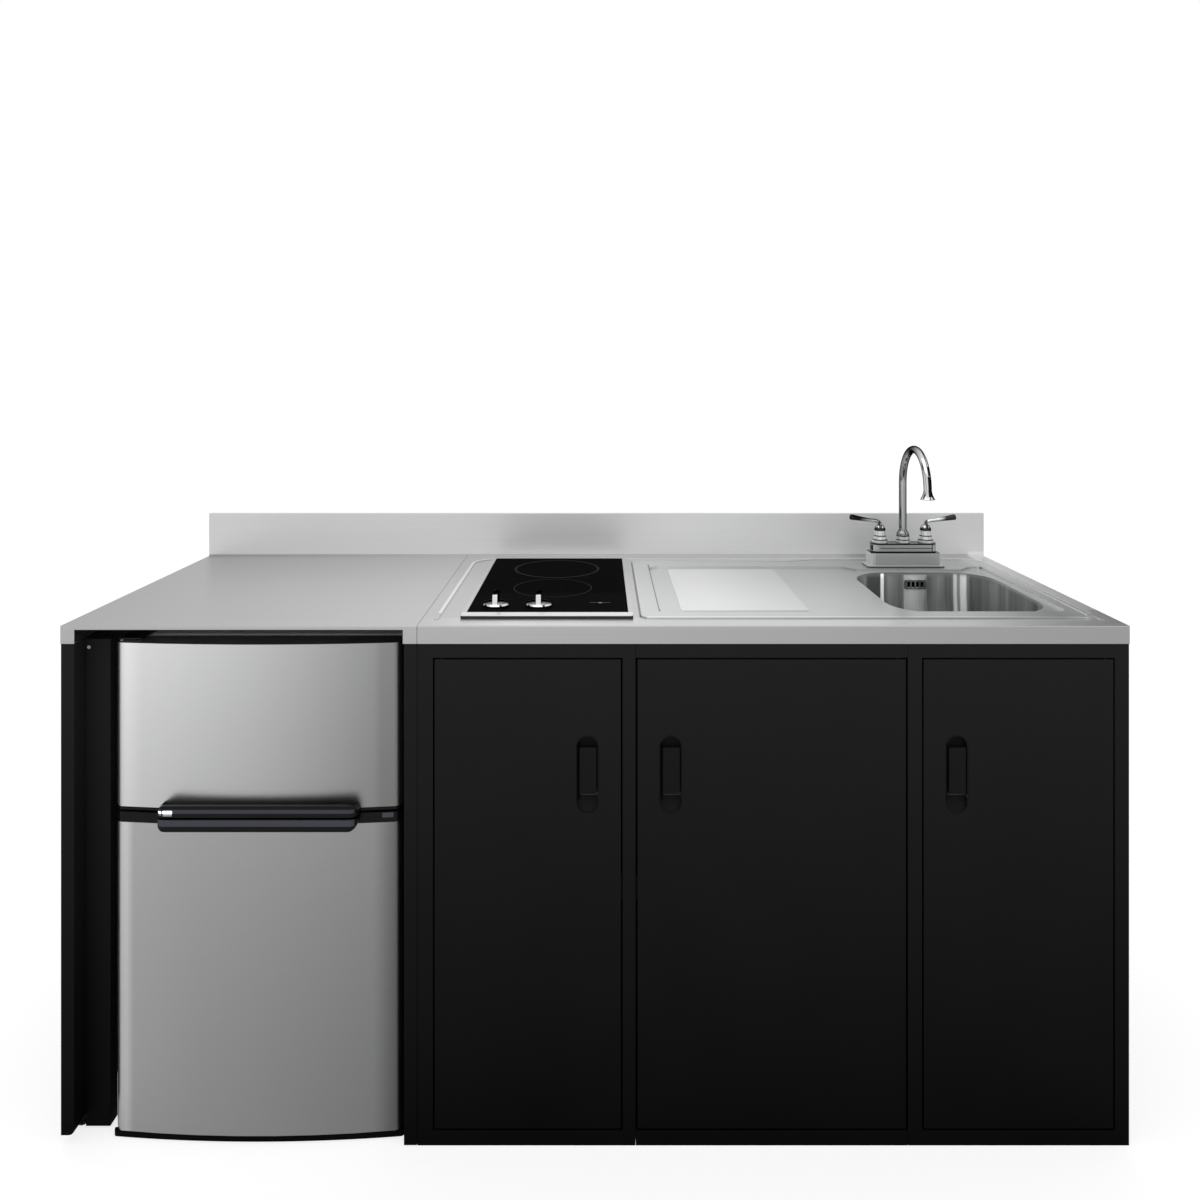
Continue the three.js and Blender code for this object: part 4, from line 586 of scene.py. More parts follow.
@dataclass(frozen=True)
class Chrome(Finish):
    """Polished chrome, whose turned-away edges pick up the dark of the room."""

    tone: Triple = (0.86, 0.87, 0.88)
    roughness: float = 0.05
    metallic: float = 1.0
    edge: float = 0.08
    turned: Pair = (0.3, 0.8)
    smear: float = 0.05
    smear_scale: float = 40.0

    def build(self) -> Material:
        """Builds the chrome, with its faint smears.

        Returns:
            The material.
        """
        material, body = self.shader()
        tree = material.node_tree
        body.inputs["Specular Tint"].default_value = (self.edge, self.edge, self.edge, 1.0)
        facing = tree.nodes.new("ShaderNodeLayerWeight")
        facing.inputs["Blend"].default_value = 0.5
        turn = map_range(tree, facing.outputs["Facing"], self.turned, (1.0, self.edge))
        tree.links.new(scaled(tree, self.tone, turn), body.inputs["Base Color"])
        clouds = noise_node(tree, object_place(tree), self.smear_scale, 3.0)
        rough = math_node(tree, "MULTIPLY_ADD", clouds, self.smear, self.roughness - self.smear / 2)
        tree.links.new(rough, body.inputs["Roughness"])
        return material


@dataclass(frozen=True)
class PrintedGlass(Finish):
    """Black glass with ring marks printed on it."""

    rings: tuple[Triple, ...] = ()
    line: float = 0.0007
    ink: Triple = (0.05, 0.05, 0.052)
    coat: float = 0.02
    coat_roughness: float = 0.03

    def build(self) -> Material:
        """Builds the glass, with one ring for each (x, y, radius).

        Returns:
            The material.
        """
        material, body = self.shader()
        tree = material.node_tree
        place = object_place(tree)
        total: object = 0.0
        for x, y, radius in self.rings:
            shift = vector_node(tree, "MULTIPLY_ADD", place, (1.0, 1.0, 0.0), (-x, -y, 0.0)).outputs[0]
            on = math_node(tree, "LESS_THAN", off_circle(tree, shift, radius), self.line)
            total = math_node(tree, "MAXIMUM", on, total)
        mix = tree.nodes.new("ShaderNodeMix")
        mix.data_type = "RGBA"
        mix.inputs["A"].default_value = (*self.tone, 1.0)
        mix.inputs["B"].default_value = (*self.ink, 1.0)
        tree.links.new(total, mix.inputs["Factor"])
        tree.links.new(mix.outputs["Result"], body.inputs["Base Color"])
        body.inputs["Coat Weight"].default_value = self.coat
        body.inputs["Coat Roughness"].default_value = self.coat_roughness
        return material


HOB_MIDDLE_X = -0.085
REAR_ZONE = (HOB_MIDDLE_X, 0.133)
FRONT_ZONE = (HOB_MIDDLE_X, -0.048)

TOP_Z = (0.888, 0.8935)
SINK_Z = (0.883, 0.9)
BOWL_Z = (0.7, 0.884)
BOWL_WALL_Z = (0.7, 0.888)
BOWL_SHADE_STOPS = ((0.0, 0.5), (0.6, 0.8), (1.0, 1.15))
PANEL_Z = (0.88, 0.9)
BOWL_LINE_Z = (0.745, 0.886)
PANEL_X = (0.157, 0.391)
MOUTH_Y = (0.0, 0.08)
TAP_SHADE_LINES = (
    (0.03, (0.9215, 0.926)), (0.03, (0.9395, 0.9435)), (0.06, (0.9485, 0.9515)), (0.06, (0.957, 0.96)),
)
PIPE_SHADE_STOPS = ((0.0, 0.4), (0.5, 0.5), (1.0, 1.0))
LEDGE_Z = (0.8805, 0.901)
LEDGE_LIGHT_STOPS = ((0.0, 1.0), (0.12, 1.3), (0.35, 1.04), (1.0, 1.0))
# Painted light on the worktop steel: the upright splash lighter and less of a mirror, the apron in painted
# shade, and the deck painted darker towards the left.
LIT_SPLASH = Patch(tone=1.45, z=(0.8935, 1.0), metal=0.4)
SHADED_APRON = Patch(tone=0.86, z=(0.8, 0.8885))
DECK_LIGHT_FALL = Fall(z=TOP_Z, span=(-0.9, 0.0), stops=((0.0, 0.84), (0.6, 1.08), (1.0, 1.16)))
FREEZER_LIGHT_STOPS = (
    (0.0, 1.3), (0.045, 1.68), (0.1, 1.44), (0.5, 1.05), (0.9, 0.63), (0.925, 0.52), (1.0, 0.48),
)
FRIDGE_LIGHT_STOPS = (
    (0.0, 1.3), (0.045, 1.56), (0.07, 1.08), (0.3, 0.96), (0.9, 0.75), (0.96, 0.45), (1.0, 0.3),
)
DOOR_SPAN = (-0.832, -0.332)
PULL_LEFTS = (-0.0318, 0.1108, 0.6008)
GRIP_X = (-0.745, -0.406)
GRIP_FACE = (-0.32, -0.314)

STEEL_TONE = (0.63, 0.635, 0.63)
BLACK_TONE = (0.006, 0.0062, 0.0075)

FINISH_LIST: tuple[Finish, ...] = (
    Brushed("brushed_steel", STEEL_TONE, 0.38, bump=0.12, regions=(LIT_SPLASH, SHADED_APRON, DECK_LIGHT_FALL)),
    SinkSteel(
        "sink_steel", (0.6, 0.61, 0.61), 0.3, metallic=0.75, line_strength=0.035,
        regions=(
            # the sunk field's painted light, lighter at both ends, its drainer panel lighter and falling
            # off to the right, the front strip painted lighter, and dark lines along the rims
            Fall(z=SINK_Z, span=(0.08, 0.88), stops=((0.0, 1.36), (0.6, 0.92), (0.93, 0.98), (1.0, 1.5))),
            Fall(x=PANEL_X, y=(-0.197, 0.161), z=PANEL_Z, span=PANEL_X, stops=((0.0, 1.42), (1.0, 1.2))),
            Patch(tone=0.25, x=(0.078, 0.0825), y=(-0.25, 0.25)),
            Patch(tone=1.35, x=(0.09, 0.87), y=(-0.2585, -0.25), soft=0.002),
            Patch(tone=0.3, x=(0.1145, 0.1185), y=(-0.213, 0.2)),
            # the bowl: less of a mirror, painted darker downwards as shade, with painted dark reflection
            # bands and the painted bright reflection lines of its rear wall
            Patch(tone=1.0, z=BOWL_Z, soft=0.004, metal=0.5),
            Fall(z=BOWL_WALL_Z, soft=0.004, axis=Axis.UPRIGHT, span=(0.74, 0.884), stops=BOWL_SHADE_STOPS),
            Patch(tone=0.72, x=(0.5, 0.667), z=BOWL_Z, soft=0.004),
            Patch(tone=0.8, x=(0.722, 0.774), z=BOWL_Z, soft=0.004),
            Patch(tone=0.55, x=(0.806, 0.86), z=BOWL_Z, soft=0.004),
            Patch(tone=2.2, x=(0.668, 0.721), y=(0.1, 0.14), z=(0.745, 0.884), soft=0.003),
            Patch(tone=3.4, x=(0.776, 0.785), y=(0.08, 0.14), z=BOWL_LINE_Z, soft=0.002),
            Patch(tone=3.4, x=(0.789, 0.803), y=(0.08, 0.14), z=BOWL_LINE_Z, soft=0.002),
            Patch(tone=15.0, x=(0.618, 0.627), y=(0.05, 0.14), z=BOWL_LINE_Z, soft=0.002),
        ),
    ),
    BeadedSteel(
        "beaded_steel", STEEL_TONE, 0.38, bump=0.12,
        regions=(
            LIT_SPLASH,
            SHADED_APRON,
            DECK_LIGHT_FALL,
            # painted light on the front strip, and on the one right of the sink
            Fall(y=(-0.3045, -0.25), z=LEDGE_Z, soft=0.006, span=(-0.3, 0.9), stops=LEDGE_LIGHT_STOPS),
            Patch(tone=1.35, x=(0.875, 0.93), y=(-0.2, 0.4), z=LEDGE_Z, soft=0.006),
        ),
    ),
    Brushed(
        "hob_trim_steel", (0.72, 0.725, 0.72), 0.3, line_strength=0.03,
        # painted light: the trim's front strip lighter than its sides
        regions=(Patch(tone=1.35, y=(-0.259, -0.236)),),
    ),
    Chrome("chrome"),
    Chrome(
        "lever_chrome",
        regions=(
            # painted dark reflections on the levers' ends, painted shade at their hubs' feet and a painted
            # dark line up each
            Patch(tone=0.05, x=(0.55, 0.606), soft=0.016),
            Patch(tone=0.05, x=(0.766, 0.82), soft=0.016),
            Patch(tone=0.06, z=(0.965, 0.9765)),
            Patch(tone=0.12, x=(0.63, 0.636), z=(0.974, 0.995)),
            Patch(tone=0.12, x=(0.734, 0.741), z=(0.974, 0.995)),
        ),
    ),
    Chrome(
        "spout_chrome",
        regions=(
            # the rear pipe in painted shade, darker downwards, then a painted dark reflection on the side
            # of the mouth
            Fall(y=(0.13, 0.24), soft=0.03, axis=Axis.UPRIGHT, span=(1.06, 1.16), stops=PIPE_SHADE_STOPS),
            Patch(tone=0.02, x=(0.684, 0.72), y=MOUTH_Y, z=(1.066, 1.108)),
            Patch(tone=0.02, x=(0.6865, 0.72), y=MOUTH_Y, z=(1.108, 1.128)),
            Patch(tone=0.04, x=(0.6895, 0.72), y=MOUTH_Y, z=(1.128, 1.146)),
        ),
    ),
    Brushed(
        "tap_satin", (0.66, 0.665, 0.67), 0.22, metallic=0.5, line_strength=0.02,
        regions=(
            # painted shade at the block's foot, on its lower tier and in lines at its steps, painted light
            # on its top and left end, and its dark marks
            Patch(tone=0.1, z=(0.889, 0.8946)),
            Patch(tone=0.86, z=(0.8946, 0.921)),
            *(Patch(tone=tone, z=z, soft=0.0006) for tone, z in TAP_SHADE_LINES),
            Patch(tone=0.12, x=(0.63, 0.748), z=(0.9315, 0.9338), soft=0.0006),
            Patch(tone=1.35, z=(0.9438, 0.971)),
            Patch(tone=1.35, x=(0.595, 0.62), z=(0.8946, 0.971)),
            Patch(tone=0.05, x=(0.6, 0.6175), z=(0.926, 0.9395), soft=0.0008),
            Patch(tone=0.1, x=(0.744, 0.7475), z=(0.924, 0.9415), soft=0.0008),
            Patch(tone=0.1, x=(0.755, 0.765), z=(0.924, 0.9415), soft=0.0008),
        ),
    ),
    # painted shade: the black paint darkens towards the bottom, as if lit from above
    Coated("black_paint", (0.025, 0.0254, 0.026), 0.5, specular=0.06, bump=0.08, low=0.1),
    Coated("zinc_steel", (0.45, 0.46, 0.47), 0.42, metallic=1.0, scale=300.0),
    PrintedGlass(
        "black_glass", (0.0022, 0.0022, 0.0025), 0.08, specular=0.0,
        rings=((*REAR_ZONE, 0.091), (*REAR_ZONE, 0.088), (*FRONT_ZONE, 0.0765)),
        regions=(Patch(tone=90.0, x=(-0.011, 0.028), y=(-0.1682, -0.1662), soft=0.0004),),
    ),
    Coated("grey_plastic", (0.55, 0.56, 0.56), 0.4),
    Coated("black_plastic", BLACK_TONE, 0.25, specular=0.4, scale=1400.0),
    Coated(
        "grip_plastic", BLACK_TONE, 0.25, specular=0.2, scale=1400.0,
        regions=(
            # two painted highlights along the grips' fronts, and small painted glints at their ends
            Patch(tone=14.0, x=GRIP_X, y=GRIP_FACE, z=(0.5745, 0.5825), soft=0.0015),
            Patch(tone=16.0, x=GRIP_X, y=GRIP_FACE, z=(0.5525, 0.565), soft=0.0015),
            Patch(tone=100.0, x=(-0.733, -0.717), y=GRIP_FACE, z=(0.5705, 0.58), soft=0.0006),
            Patch(tone=60.0, x=(-0.745, -0.735), y=GRIP_FACE, z=(0.5715, 0.579), soft=0.0006),
            Patch(tone=20.0, x=(-0.368, -0.348), z=(0.554, 0.563)),
        ),
    ),
    Coated(
        # painted shade: darker towards the bottom, as if lit from above
        "pull_plastic", (0.02, 0.0204, 0.021), 0.5, specular=0.06, low=0.1,
        regions=(
            # each pull's painted shadow down its left side and painted highlight along its foot
            *(Patch(tone=0.15, x=(x, x + 0.0065), z=(0.588, 0.69)) for x in PULL_LEFTS),
            *(Patch(tone=9.0, x=(x + 0.007, x + 0.037), z=(0.5945, 0.6)) for x in PULL_LEFTS),
        ),
    ),
    Coated("white_liner", (0.75, 0.76, 0.77), 0.35),
    Coated("clear_plastic", (0.7, 0.76, 0.79), 0.12, alpha=0.35),
    Brushed(
        "fridge_steel", (0.6, 0.602, 0.606), 0.34, line_strength=0.04,
        regions=(
            # painted light on the two doors' bowed fronts, bright at the left edge and falling to shade at
            # the right, then their pale inner sides
            Fall(z=(0.56, 0.87), span=DOOR_SPAN, stops=FREEZER_LIGHT_STOPS),
            Fall(z=(0.0, 0.56), span=DOOR_SPAN, stops=FRIDGE_LIGHT_STOPS),
            Patch(tone=1.25, x=(-0.825, -0.34), y=(-0.2432, -0.2), soft=0.0004, metal=0.0),
        ),
    ),
    Coated("rubber", (0.03, 0.03, 0.032), 0.75, bump=0.2),
    Coated("insulation", (0.16, 0.15, 0.14), 0.85, bump=0.4),
    Coated("amber_lens", (0.03, 0.008, 0.006), 0.15),
)
FINISHES = {finish.name: finish for finish in FINISH_LIST}


@cache
def finish_material(name: str) -> Material:
    """Builds a finish's material, the first time that it is asked for."""
    return FINISHES[name].finished()


# ---- Shared making of pieces
SMOOTH_ANGLE = 32.0
BEVEL_ANGLE = 40.0
WELD = 1e-5
SAME = 1e-6
FLAT_WEIGHT = 80
TURN_STEPS = 32


@cache
def smooth_tree() -> Tree:
    """The geometry nodes that round off shading, and keep edges sharp where faces meet steeply.

    Returns:
        The modifier's node tree.
    """
    tree = bpy.data.node_groups.new("smooth_by_angle", "GeometryNodeTree")
    for way in ("INPUT", "OUTPUT"):
        tree.interface.new_socket(name="Geometry", in_out=way, socket_type="NodeSocketGeometry")
    start, end = tree.nodes.new("NodeGroupInput"), tree.nodes.new("NodeGroupOutput")
    faces, edges = (tree.nodes.new("GeometryNodeSetShadeSmooth") for _ in range(2))
    edges.domain = "EDGE"
    angle = tree.nodes.new("GeometryNodeInputMeshEdgeAngle")
    steep = tree.nodes.new("FunctionNodeCompare")
    steep.inputs["B"].default_value = math.radians(SMOOTH_ANGLE)
    tree.links.new(angle.outputs["Unsigned Angle"], steep.inputs["A"])
    tree.links.new(steep.outputs[0], edges.inputs["Selection"])
    edges.inputs["Shade Smooth"].default_value = False
    tree.links.new(start.outputs[0], faces.inputs["Geometry"])
    tree.links.new(faces.outputs[0], edges.inputs["Geometry"])
    tree.links.new(edges.outputs[0], end.inputs[0])
    return tree


def soften(piece: Piece, width: float, segments: int = 2, weld: bool = False) -> None:
    """Rounds a piece's edges and its shading by modifiers.

    Args:
        piece: the piece or CAD node.
        width: the rounding's width, or 0 for none.
        segments: how many steps the rounding has.
        weld: joins the corners of loose triangles first.
    """
    if weld:
        piece.modifiers.new("weld", "WELD").merge_threshold = WELD
    if width:
        bevel = piece.modifiers.new("edges", "BEVEL")
        bevel.width = width
        bevel.segments = segments
        bevel.limit_method = "ANGLE"
        bevel.angle_limit = math.radians(BEVEL_ANGLE)
        bevel.use_clamp_overlap = True
    piece.modifiers.new("shading", "NODES").node_group = smooth_tree()
    flat = piece.modifiers.new("flat_faces", "WEIGHTED_NORMAL")
    flat.keep_sharp = True
    flat.weight = FLAT_WEIGHT


def new_ring(geom: list) -> tuple[list, list]:
    """Picks the new end ring out of what an extrusion made.

    Args:
        geom: the extrusion's result.

    Returns:
        The ring's vertices, and the edges between them.
    """
    verts = [item for item in geom if isinstance(item, bmesh.types.BMVert)]
    edges = [item for item in geom if isinstance(item, bmesh.types.BMEdge)]
    return verts, [edge for edge in edges if set(edge.verts) <= set(verts)]


def round_edges(bm: Shape, edges: list, width: float, steps: int = 2) -> None:
    """Rounds some of a shape's edges.

    Args:
        bm: the mesh that holds them.
        edges: the edges to round.
        width: the rounding's width.
        steps: how many steps it has.
    """
    bmesh.ops.bevel(
        bm, geom=edges, offset=width, segments=steps, profile=0.5, affect="EDGES", clamp_overlap=True
    )


def swept_tube(bm: Shape, path: list[Vector], radii: list[float], sides: int = 24) -> None:
    """Draws a round bar along a path, by extruding its end ring from point to point.

    Args:
        bm: the mesh to add to.
        path: the points of the middle line.
        radii: the bar's radius at each point.
        sides: how many sides the ring has.
    """
    ring = bmesh.ops.create_circle(bm, cap_ends=True, segments=sides, radius=1.0)["verts"]
    edges = [edge for edge in bm.edges if set(edge.verts) <= set(ring)]
    turn = Vector(UP).rotation_difference(path[1] - path[0])
    last = Matrix.Identity(4)
    for index, (point, radius) in enumerate(zip(path, radii)):
        if index:
            before = path[index] - path[index - 1]
            after = path[min(index + 1, len(path) - 1)] - path[min(index, len(path) - 2)]
            aim = turn @ Vector(UP)
            turn = aim.rotation_difference(before.normalized() + after.normalized()) @ turn
            ring, edges = new_ring(bmesh.ops.extrude_edge_only(bm, edges=edges)["geom"])
        scale = Matrix.Diagonal((radius, radius, radius, 1.0))
        place = Matrix.Translation(point) @ turn.to_matrix().to_4x4() @ scale
        bmesh.ops.transform(bm, matrix=place @ last.inverted(), verts=ring)
        last = place
    bmesh.ops.edgeloop_fill(bm, edges=edges)


def turned_piece(bm: Shape, profile: list[Pair], centre: Vector) -> None:
    """Turns a profile once round an upright axis.

    Args:
        bm: the mesh to add to.
        profile: (radius, height) points, the first and last on the axis.
        centre: a point of the axis.
    """
    verts = [bm.verts.new((centre.x + radius, centre.y, height)) for radius, height in profile]
    edges = [bm.edges.new(pair) for pair in zip(verts, verts[1:])]
    bmesh.ops.spin(
        bm, geom=verts + edges, cent=centre, axis=UP, angle=math.tau, steps=TURN_STEPS, use_merge=True
    )
    bmesh.ops.remove_doubles(bm, verts=bm.verts[:], dist=SAME)
    bmesh.ops.recalc_face_normals(bm, faces=bm.faces[:])


def place_object(name: str, data: object) -> Piece:
    """Puts a new object into the scene, with the data that it shows."""
    piece = bpy.data.objects.new(name, data)
    bpy.context.scene.collection.objects.link(piece)
    return piece


def place_shape(bm: Shape, name: str) -> Piece:
    """Puts a shape into the scene as a new object, and frees it."""
    mesh = bpy.data.meshes.new(name)
    bm.to_mesh(mesh)
    bm.free()
    return place_object(name, mesh)


def finish_piece(
    bm: Shape, name: str, slot: str, body: str, *nodes: str, finish: str | None = None, edge: float = 0.0
) -> Piece:
    """Turns a bmesh into a piece that rides on a body.

    Args:
        bm: the shape, in the part's frame. It is freed.
        name: the piece's name.
        slot: the material slot.
        body: the body it rides on.
        nodes: the CAD nodes that it stands for.
        finish: the finish's name, where the slot has more than one.
        edge: the width of its rounded edges, or 0 for none.

    Returns:
        The new object.
    """
    piece = place_shape(bm, name)
    piece.data.materials.append(finish_material(finish or slot))
    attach(piece, body)
    if nodes:
        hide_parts(*nodes)
    soften(piece, edge)
    log.info("%s: %d faces on %s", name, len(piece.data.polygons), body)
    return piece


# ---- The CAD pieces that stay
DOORS = ("hob", "storage", "sink")
OWN_FINISH = {
    "hob_trim": "hob_trim_steel",
    "right_worktop": "beaded_steel",
    "tap_body": "tap_satin",
    "tap_aerator": "spout_chrome",
    "freezer_door_grip": "grip_plastic",
    "fridge_door_grip": "grip_plastic",
    **{f"{door}_door_catch": "black_plastic" for door in DOORS},
    **{f"{door}_door_pull": "pull_plastic" for door in DOORS},
}


@dataclass
class FramePieces:
    """The CAD nodes that are shown as they are, with softened edges and their own finish."""

    edge: float = 0.0008
    fine_edge: float = 0.0003
    fine: tuple[str, ...] = (
        "hob_trim", "hob_glass", "hob_pan", "hob_indicator_lens", "sink_overflow_cover",
        "left_worktop", "right_worktop",
    )
    round_edge: float = 0.0028
    round_steps: int = 4
    rounded: tuple[str, ...] = ("freezer_door_grip", "fridge_door_grip")
    plain: tuple[str, ...] = ("fridge_condenser", "sink_trap", "sink_waste", "sink_strainer")

    def dress(self) -> None:
        """Gives every CAD node its modifiers and its material."""
        slots = {row["node"]: row["material_slot"] for row in frame["record"]["subparts"]}
        for name, node in frame["nodes"].items():
            if name in self.rounded:
                soften(node, self.round_edge, segments=self.round_steps, weld=True)
            elif name in self.plain:
                soften(node, 0.0, weld=True)
            else:
                soften(node, self.fine_edge if name in self.fine else self.edge, weld=True)
            node.data.materials.clear()
            finish = OWN_FINISH.get(name, slots[name])
            node.data.materials.append(finish_material(finish))
            log.info("%s: CAD node in %s", name, finish)


# ---- The seals
HOB_SEAM = ((-0.237, 0.067), (-0.2584, -0.2575), (0.8903, 0.8947))
SPLASH_SEAM = ((-0.3051, -0.3039), (0.3062, 0.3178), (0.8916, 0.9896))


@dataclass
class Seal:
    """A slim rounded bar of seal or sealant that closes a joint."""

    name: str
    slot: str
    spans: tuple[Pair, Pair, Pair]
    edge: float

    def build(self) -> Piece:
        """Builds the bar from a cube.

        Returns:
            The bar, on the unit.
        """
        bm = bmesh.new()
        bmesh.ops.create_cube(bm, size=1.0)
        size = [high - low for low, high in self.spans]
        middle = [(low + high) / 2 for low, high in self.spans]
        place = Matrix.Translation(middle) @ Matrix.Diagonal((*size, 1.0))
        bmesh.ops.transform(bm, matrix=place, verts=bm.verts)
        round_edges(bm, bm.edges[:], self.edge)
        return finish_piece(bm, self.name, self.slot, "unit_body")


# ---- The sink
@dataclass
class WellStep:
    """The strip that closes the step at the right and rear of the sink's sunk field."""

    wall: float = 0.85505
    start: float = -0.02
    corner: Pair = (0.827, 0.171)
    turn: float = 62.0
    steps: int = 12
    section: tuple[Pair, ...] = (
        (0.0, 0.8904), (0.0, 0.8877), (-0.0002, 0.88745), (-0.0026, 0.88742), (-0.0026, 0.8866),
        (0.0009, 0.8866), (0.0009, 0.8904),
    )

    def build(self) -> Piece:
        """Builds the strip from its section, drawn back along the wall and round the corner.

        Returns:
            The strip, on the unit.
        """
        bm = bmesh.new()
        verts = [bm.verts.new((self.wall + out, self.start, height)) for out, height in self.section]
        first = [bm.edges.new(pair) for pair in zip(verts, verts[1:] + verts[:1])]
        moved, ring = new_ring(bmesh.ops.extrude_edge_only(bm, edges=first)["geom"])
        bmesh.ops.translate(bm, vec=(0.0, self.corner[1] - self.start, 0.0), verts=moved)
        centre, angle = (*self.corner, 0.0), math.radians(self.turn)
        spun = bmesh.ops.spin(
            bm, geom=moved + ring, cent=centre, axis=UP, angle=angle, steps=self.steps
        )
        last = [item for item in spun["geom_last"] if isinstance(item, bmesh.types.BMEdge)]
        bmesh.ops.edgeloop_fill(bm, edges=first)
        bmesh.ops.edgeloop_fill(bm, edges=last)
        bmesh.ops.recalc_face_normals(bm, faces=bm.faces[:])
        return finish_piece(bm, "sink_well_step", "sink_steel", "unit_body")


# ---- The tap
@dataclass
class Spout:
    """The arched spout: a collar, an upright pipe and a half circle over the bowl."""

    place: Pair = (0.686, 0.191)
    foot: float = 0.9571
    seat: float = 0.002
    middle: float = 0.06
    rise: float = 0.118
    radius: float = 0.00825
    bend: float = 0.08
    bend_steps: int = 48
    collar: tuple[Pair, ...] = (
        (0.0, 0.0), (0.0137, 0.0), (0.014, 0.0006), (0.014, 0.0022), (0.0128, 0.0028),
        (0.0126, 0.0048), (0.0134, 0.0055), (0.0132, 0.007), (0.0112, 0.0092), (0.0096, 0.0118),
        (0.0086, 0.0142), (0.0, 0.0142),
    )

    def path(self) -> list[Vector]:
        """Gives the pipe's middle line.

        Returns:
            Its points, from the foot to the mouth.
        """
        x, y = self.place
        low = self.foot + self.seat
        top = low + self.rise
        points = [Vector((x, y, low)), Vector((x, y, self.foot + self.middle))]
        for step in range(self.bend_steps + 1):
            angle = math.pi * step / self.bend_steps
            forward, up = self.bend * (1 - math.cos(angle)), self.bend * math.sin(angle)
            points.append(Vector((x, y - forward, top + up)))
        return points

    def build(self) -> Piece:
        """Builds the spout.

        Returns:
            The spout, on its own body.
        """
        bm = bmesh.new()
        path = self.path()
        swept_tube(bm, path, [self.radius] * len(path))
        profile = [(radius, self.foot + height) for radius, height in self.collar]
        turned_piece(bm, profile, Vector((*self.place, 0.0)))
        node = "tap_spout"
        return finish_piece(bm, "spout_pipe", "chrome", f"{node}_body", node, finish="spout_chrome")


@dataclass
class Lever:
    """A lever: a stepped hub and an S-shaped bar that grows thicker towards its end."""

    name: str
    x: float
    side: float
    y: float = 0.191
    foot: float = 0.9701
    hub: tuple[Pair, ...] = (
        (0.0, 0.0), (0.0116, 0.0), (0.012, 0.0005), (0.012, 0.0042), (0.0112, 0.0052),
        (0.0104, 0.0056), (0.0096, 0.0082), (0.0078, 0.0108), (0.0048, 0.0124), (0.0, 0.013),
    )
    line: tuple[Triple, ...] = (
        (0.0, 0.006, 0.0042), (0.0, 0.012, 0.0042), (0.001, 0.0162, 0.0041),
        (0.0045, 0.0198, 0.004), (0.0105, 0.0216, 0.0038), (0.018, 0.0224, 0.0038),
        (0.028, 0.0236, 0.0041), (0.04, 0.0254, 0.0047), (0.052, 0.0274, 0.0055),
        (0.062, 0.029, 0.0062), (0.0655, 0.0295, 0.006), (0.0667, 0.0297, 0.005),
    )

    def build(self) -> Piece:
        """Builds the lever.

        Returns:
            The lever, on its own body.
        """
        bm = bmesh.new()
        path = [Vector((self.x + self.side * out, self.y, self.foot + up)) for out, up, _ in self.line]
        swept_tube(bm, path, [radius for _, _, radius in self.line], sides=20)
        profile = [(radius, self.foot + height) for radius, height in self.hub]
        turned_piece(bm, profile, Vector((self.x, self.y, 0.0)))
        node = f"tap_{self.name}"
        return finish_piece(bm, self.name, "chrome", f"{node}_body", node, finish="lever_chrome")


# ---- The fridge's toe and screws
@dataclass
class FridgeToe:
    """The black toe strip under the fridge's door, bowed as the door is."""

    ends_x: Pair = (-0.834, -0.3305)
    back: float = -0.276
    ends: float = -0.284
    middle: float = -0.2962
    bottom: float = 0.0012
    top: float = 0.0112
    edge: float = 0.0006
    corner: float = 0.006
    corner_steps: int = 5
    steps: int = 24

    def build(self) -> Piece:
        """Builds the strip on the fridge's base.

        Returns:
            The strip, on the unit.
        """
        bm = bmesh.new()
        bmesh.ops.create_grid(bm, x_segments=self.steps, y_segments=1, size=0.5)
        half = (self.ends_x[1] - self.ends_x[0]) / 2
        centre = self.ends_x[0] + half
        for vert in bm.verts:
            across = 2 * vert.co.x
            front = self.middle + (self.ends - self.middle) * across**2
            vert.co = Vector((centre + half * across, self.back if vert.co.y > 0 else front, self.bottom))
        raised = bmesh.ops.extrude_face_region(bm, geom=bm.faces[:])
        top = [item for item in raised["geom"] if isinstance(item, bmesh.types.BMVert)]
        bmesh.ops.translate(bm, vec=(0.0, 0.0, self.top - self.bottom), verts=top)
        corners = [
            edge
            for edge in bm.edges
            if abs(edge.verts[0].co.z - edge.verts[1].co.z) > MM
            and all(abs(v.co.x - centre) > half - SAME and v.co.y < self.back - MM for v in edge.verts)
        ]
        round_edges(bm, corners, self.corner, self.corner_steps)
        bmesh.ops.recalc_face_normals(bm, faces=bm.faces[:])
        return finish_piece(bm, "fridge_toe", "black_paint", "unit_body", edge=self.edge)


@dataclass
class ScrewHead:
    """A small domed screw head that faces forward."""

    name: str
    place: Triple
    radius: float = 0.0032
    rise: float = 0.0012
    steps: tuple[Pair, ...] = ((0.22, 0.55), (0.3, 0.35), (0.45, 0.1))

    def build(self) -> Piece:
        """Builds the head from a disc that is drawn up into a dome.

        Returns:
            The screw.
        """
        bm = bmesh.new()
        bmesh.ops.create_circle(bm, cap_ends=True, segments=24, radius=self.radius)
        face = bm.faces[:]
        for share, lift in self.steps:
            bmesh.ops.inset_region(bm, faces=face, thickness=self.radius * share, use_even_offset=True)
            bmesh.ops.translate(bm, vec=(0.0, 0.0, self.rise * lift), verts=face[0].verts[:])
        turn = Matrix.Translation(self.place) @ Matrix.Rotation(math.radians(90), 4, "X")
        bmesh.ops.transform(bm, matrix=turn, verts=bm.verts)
        return finish_piece(bm, self.name, "white_liner", "unit_body")


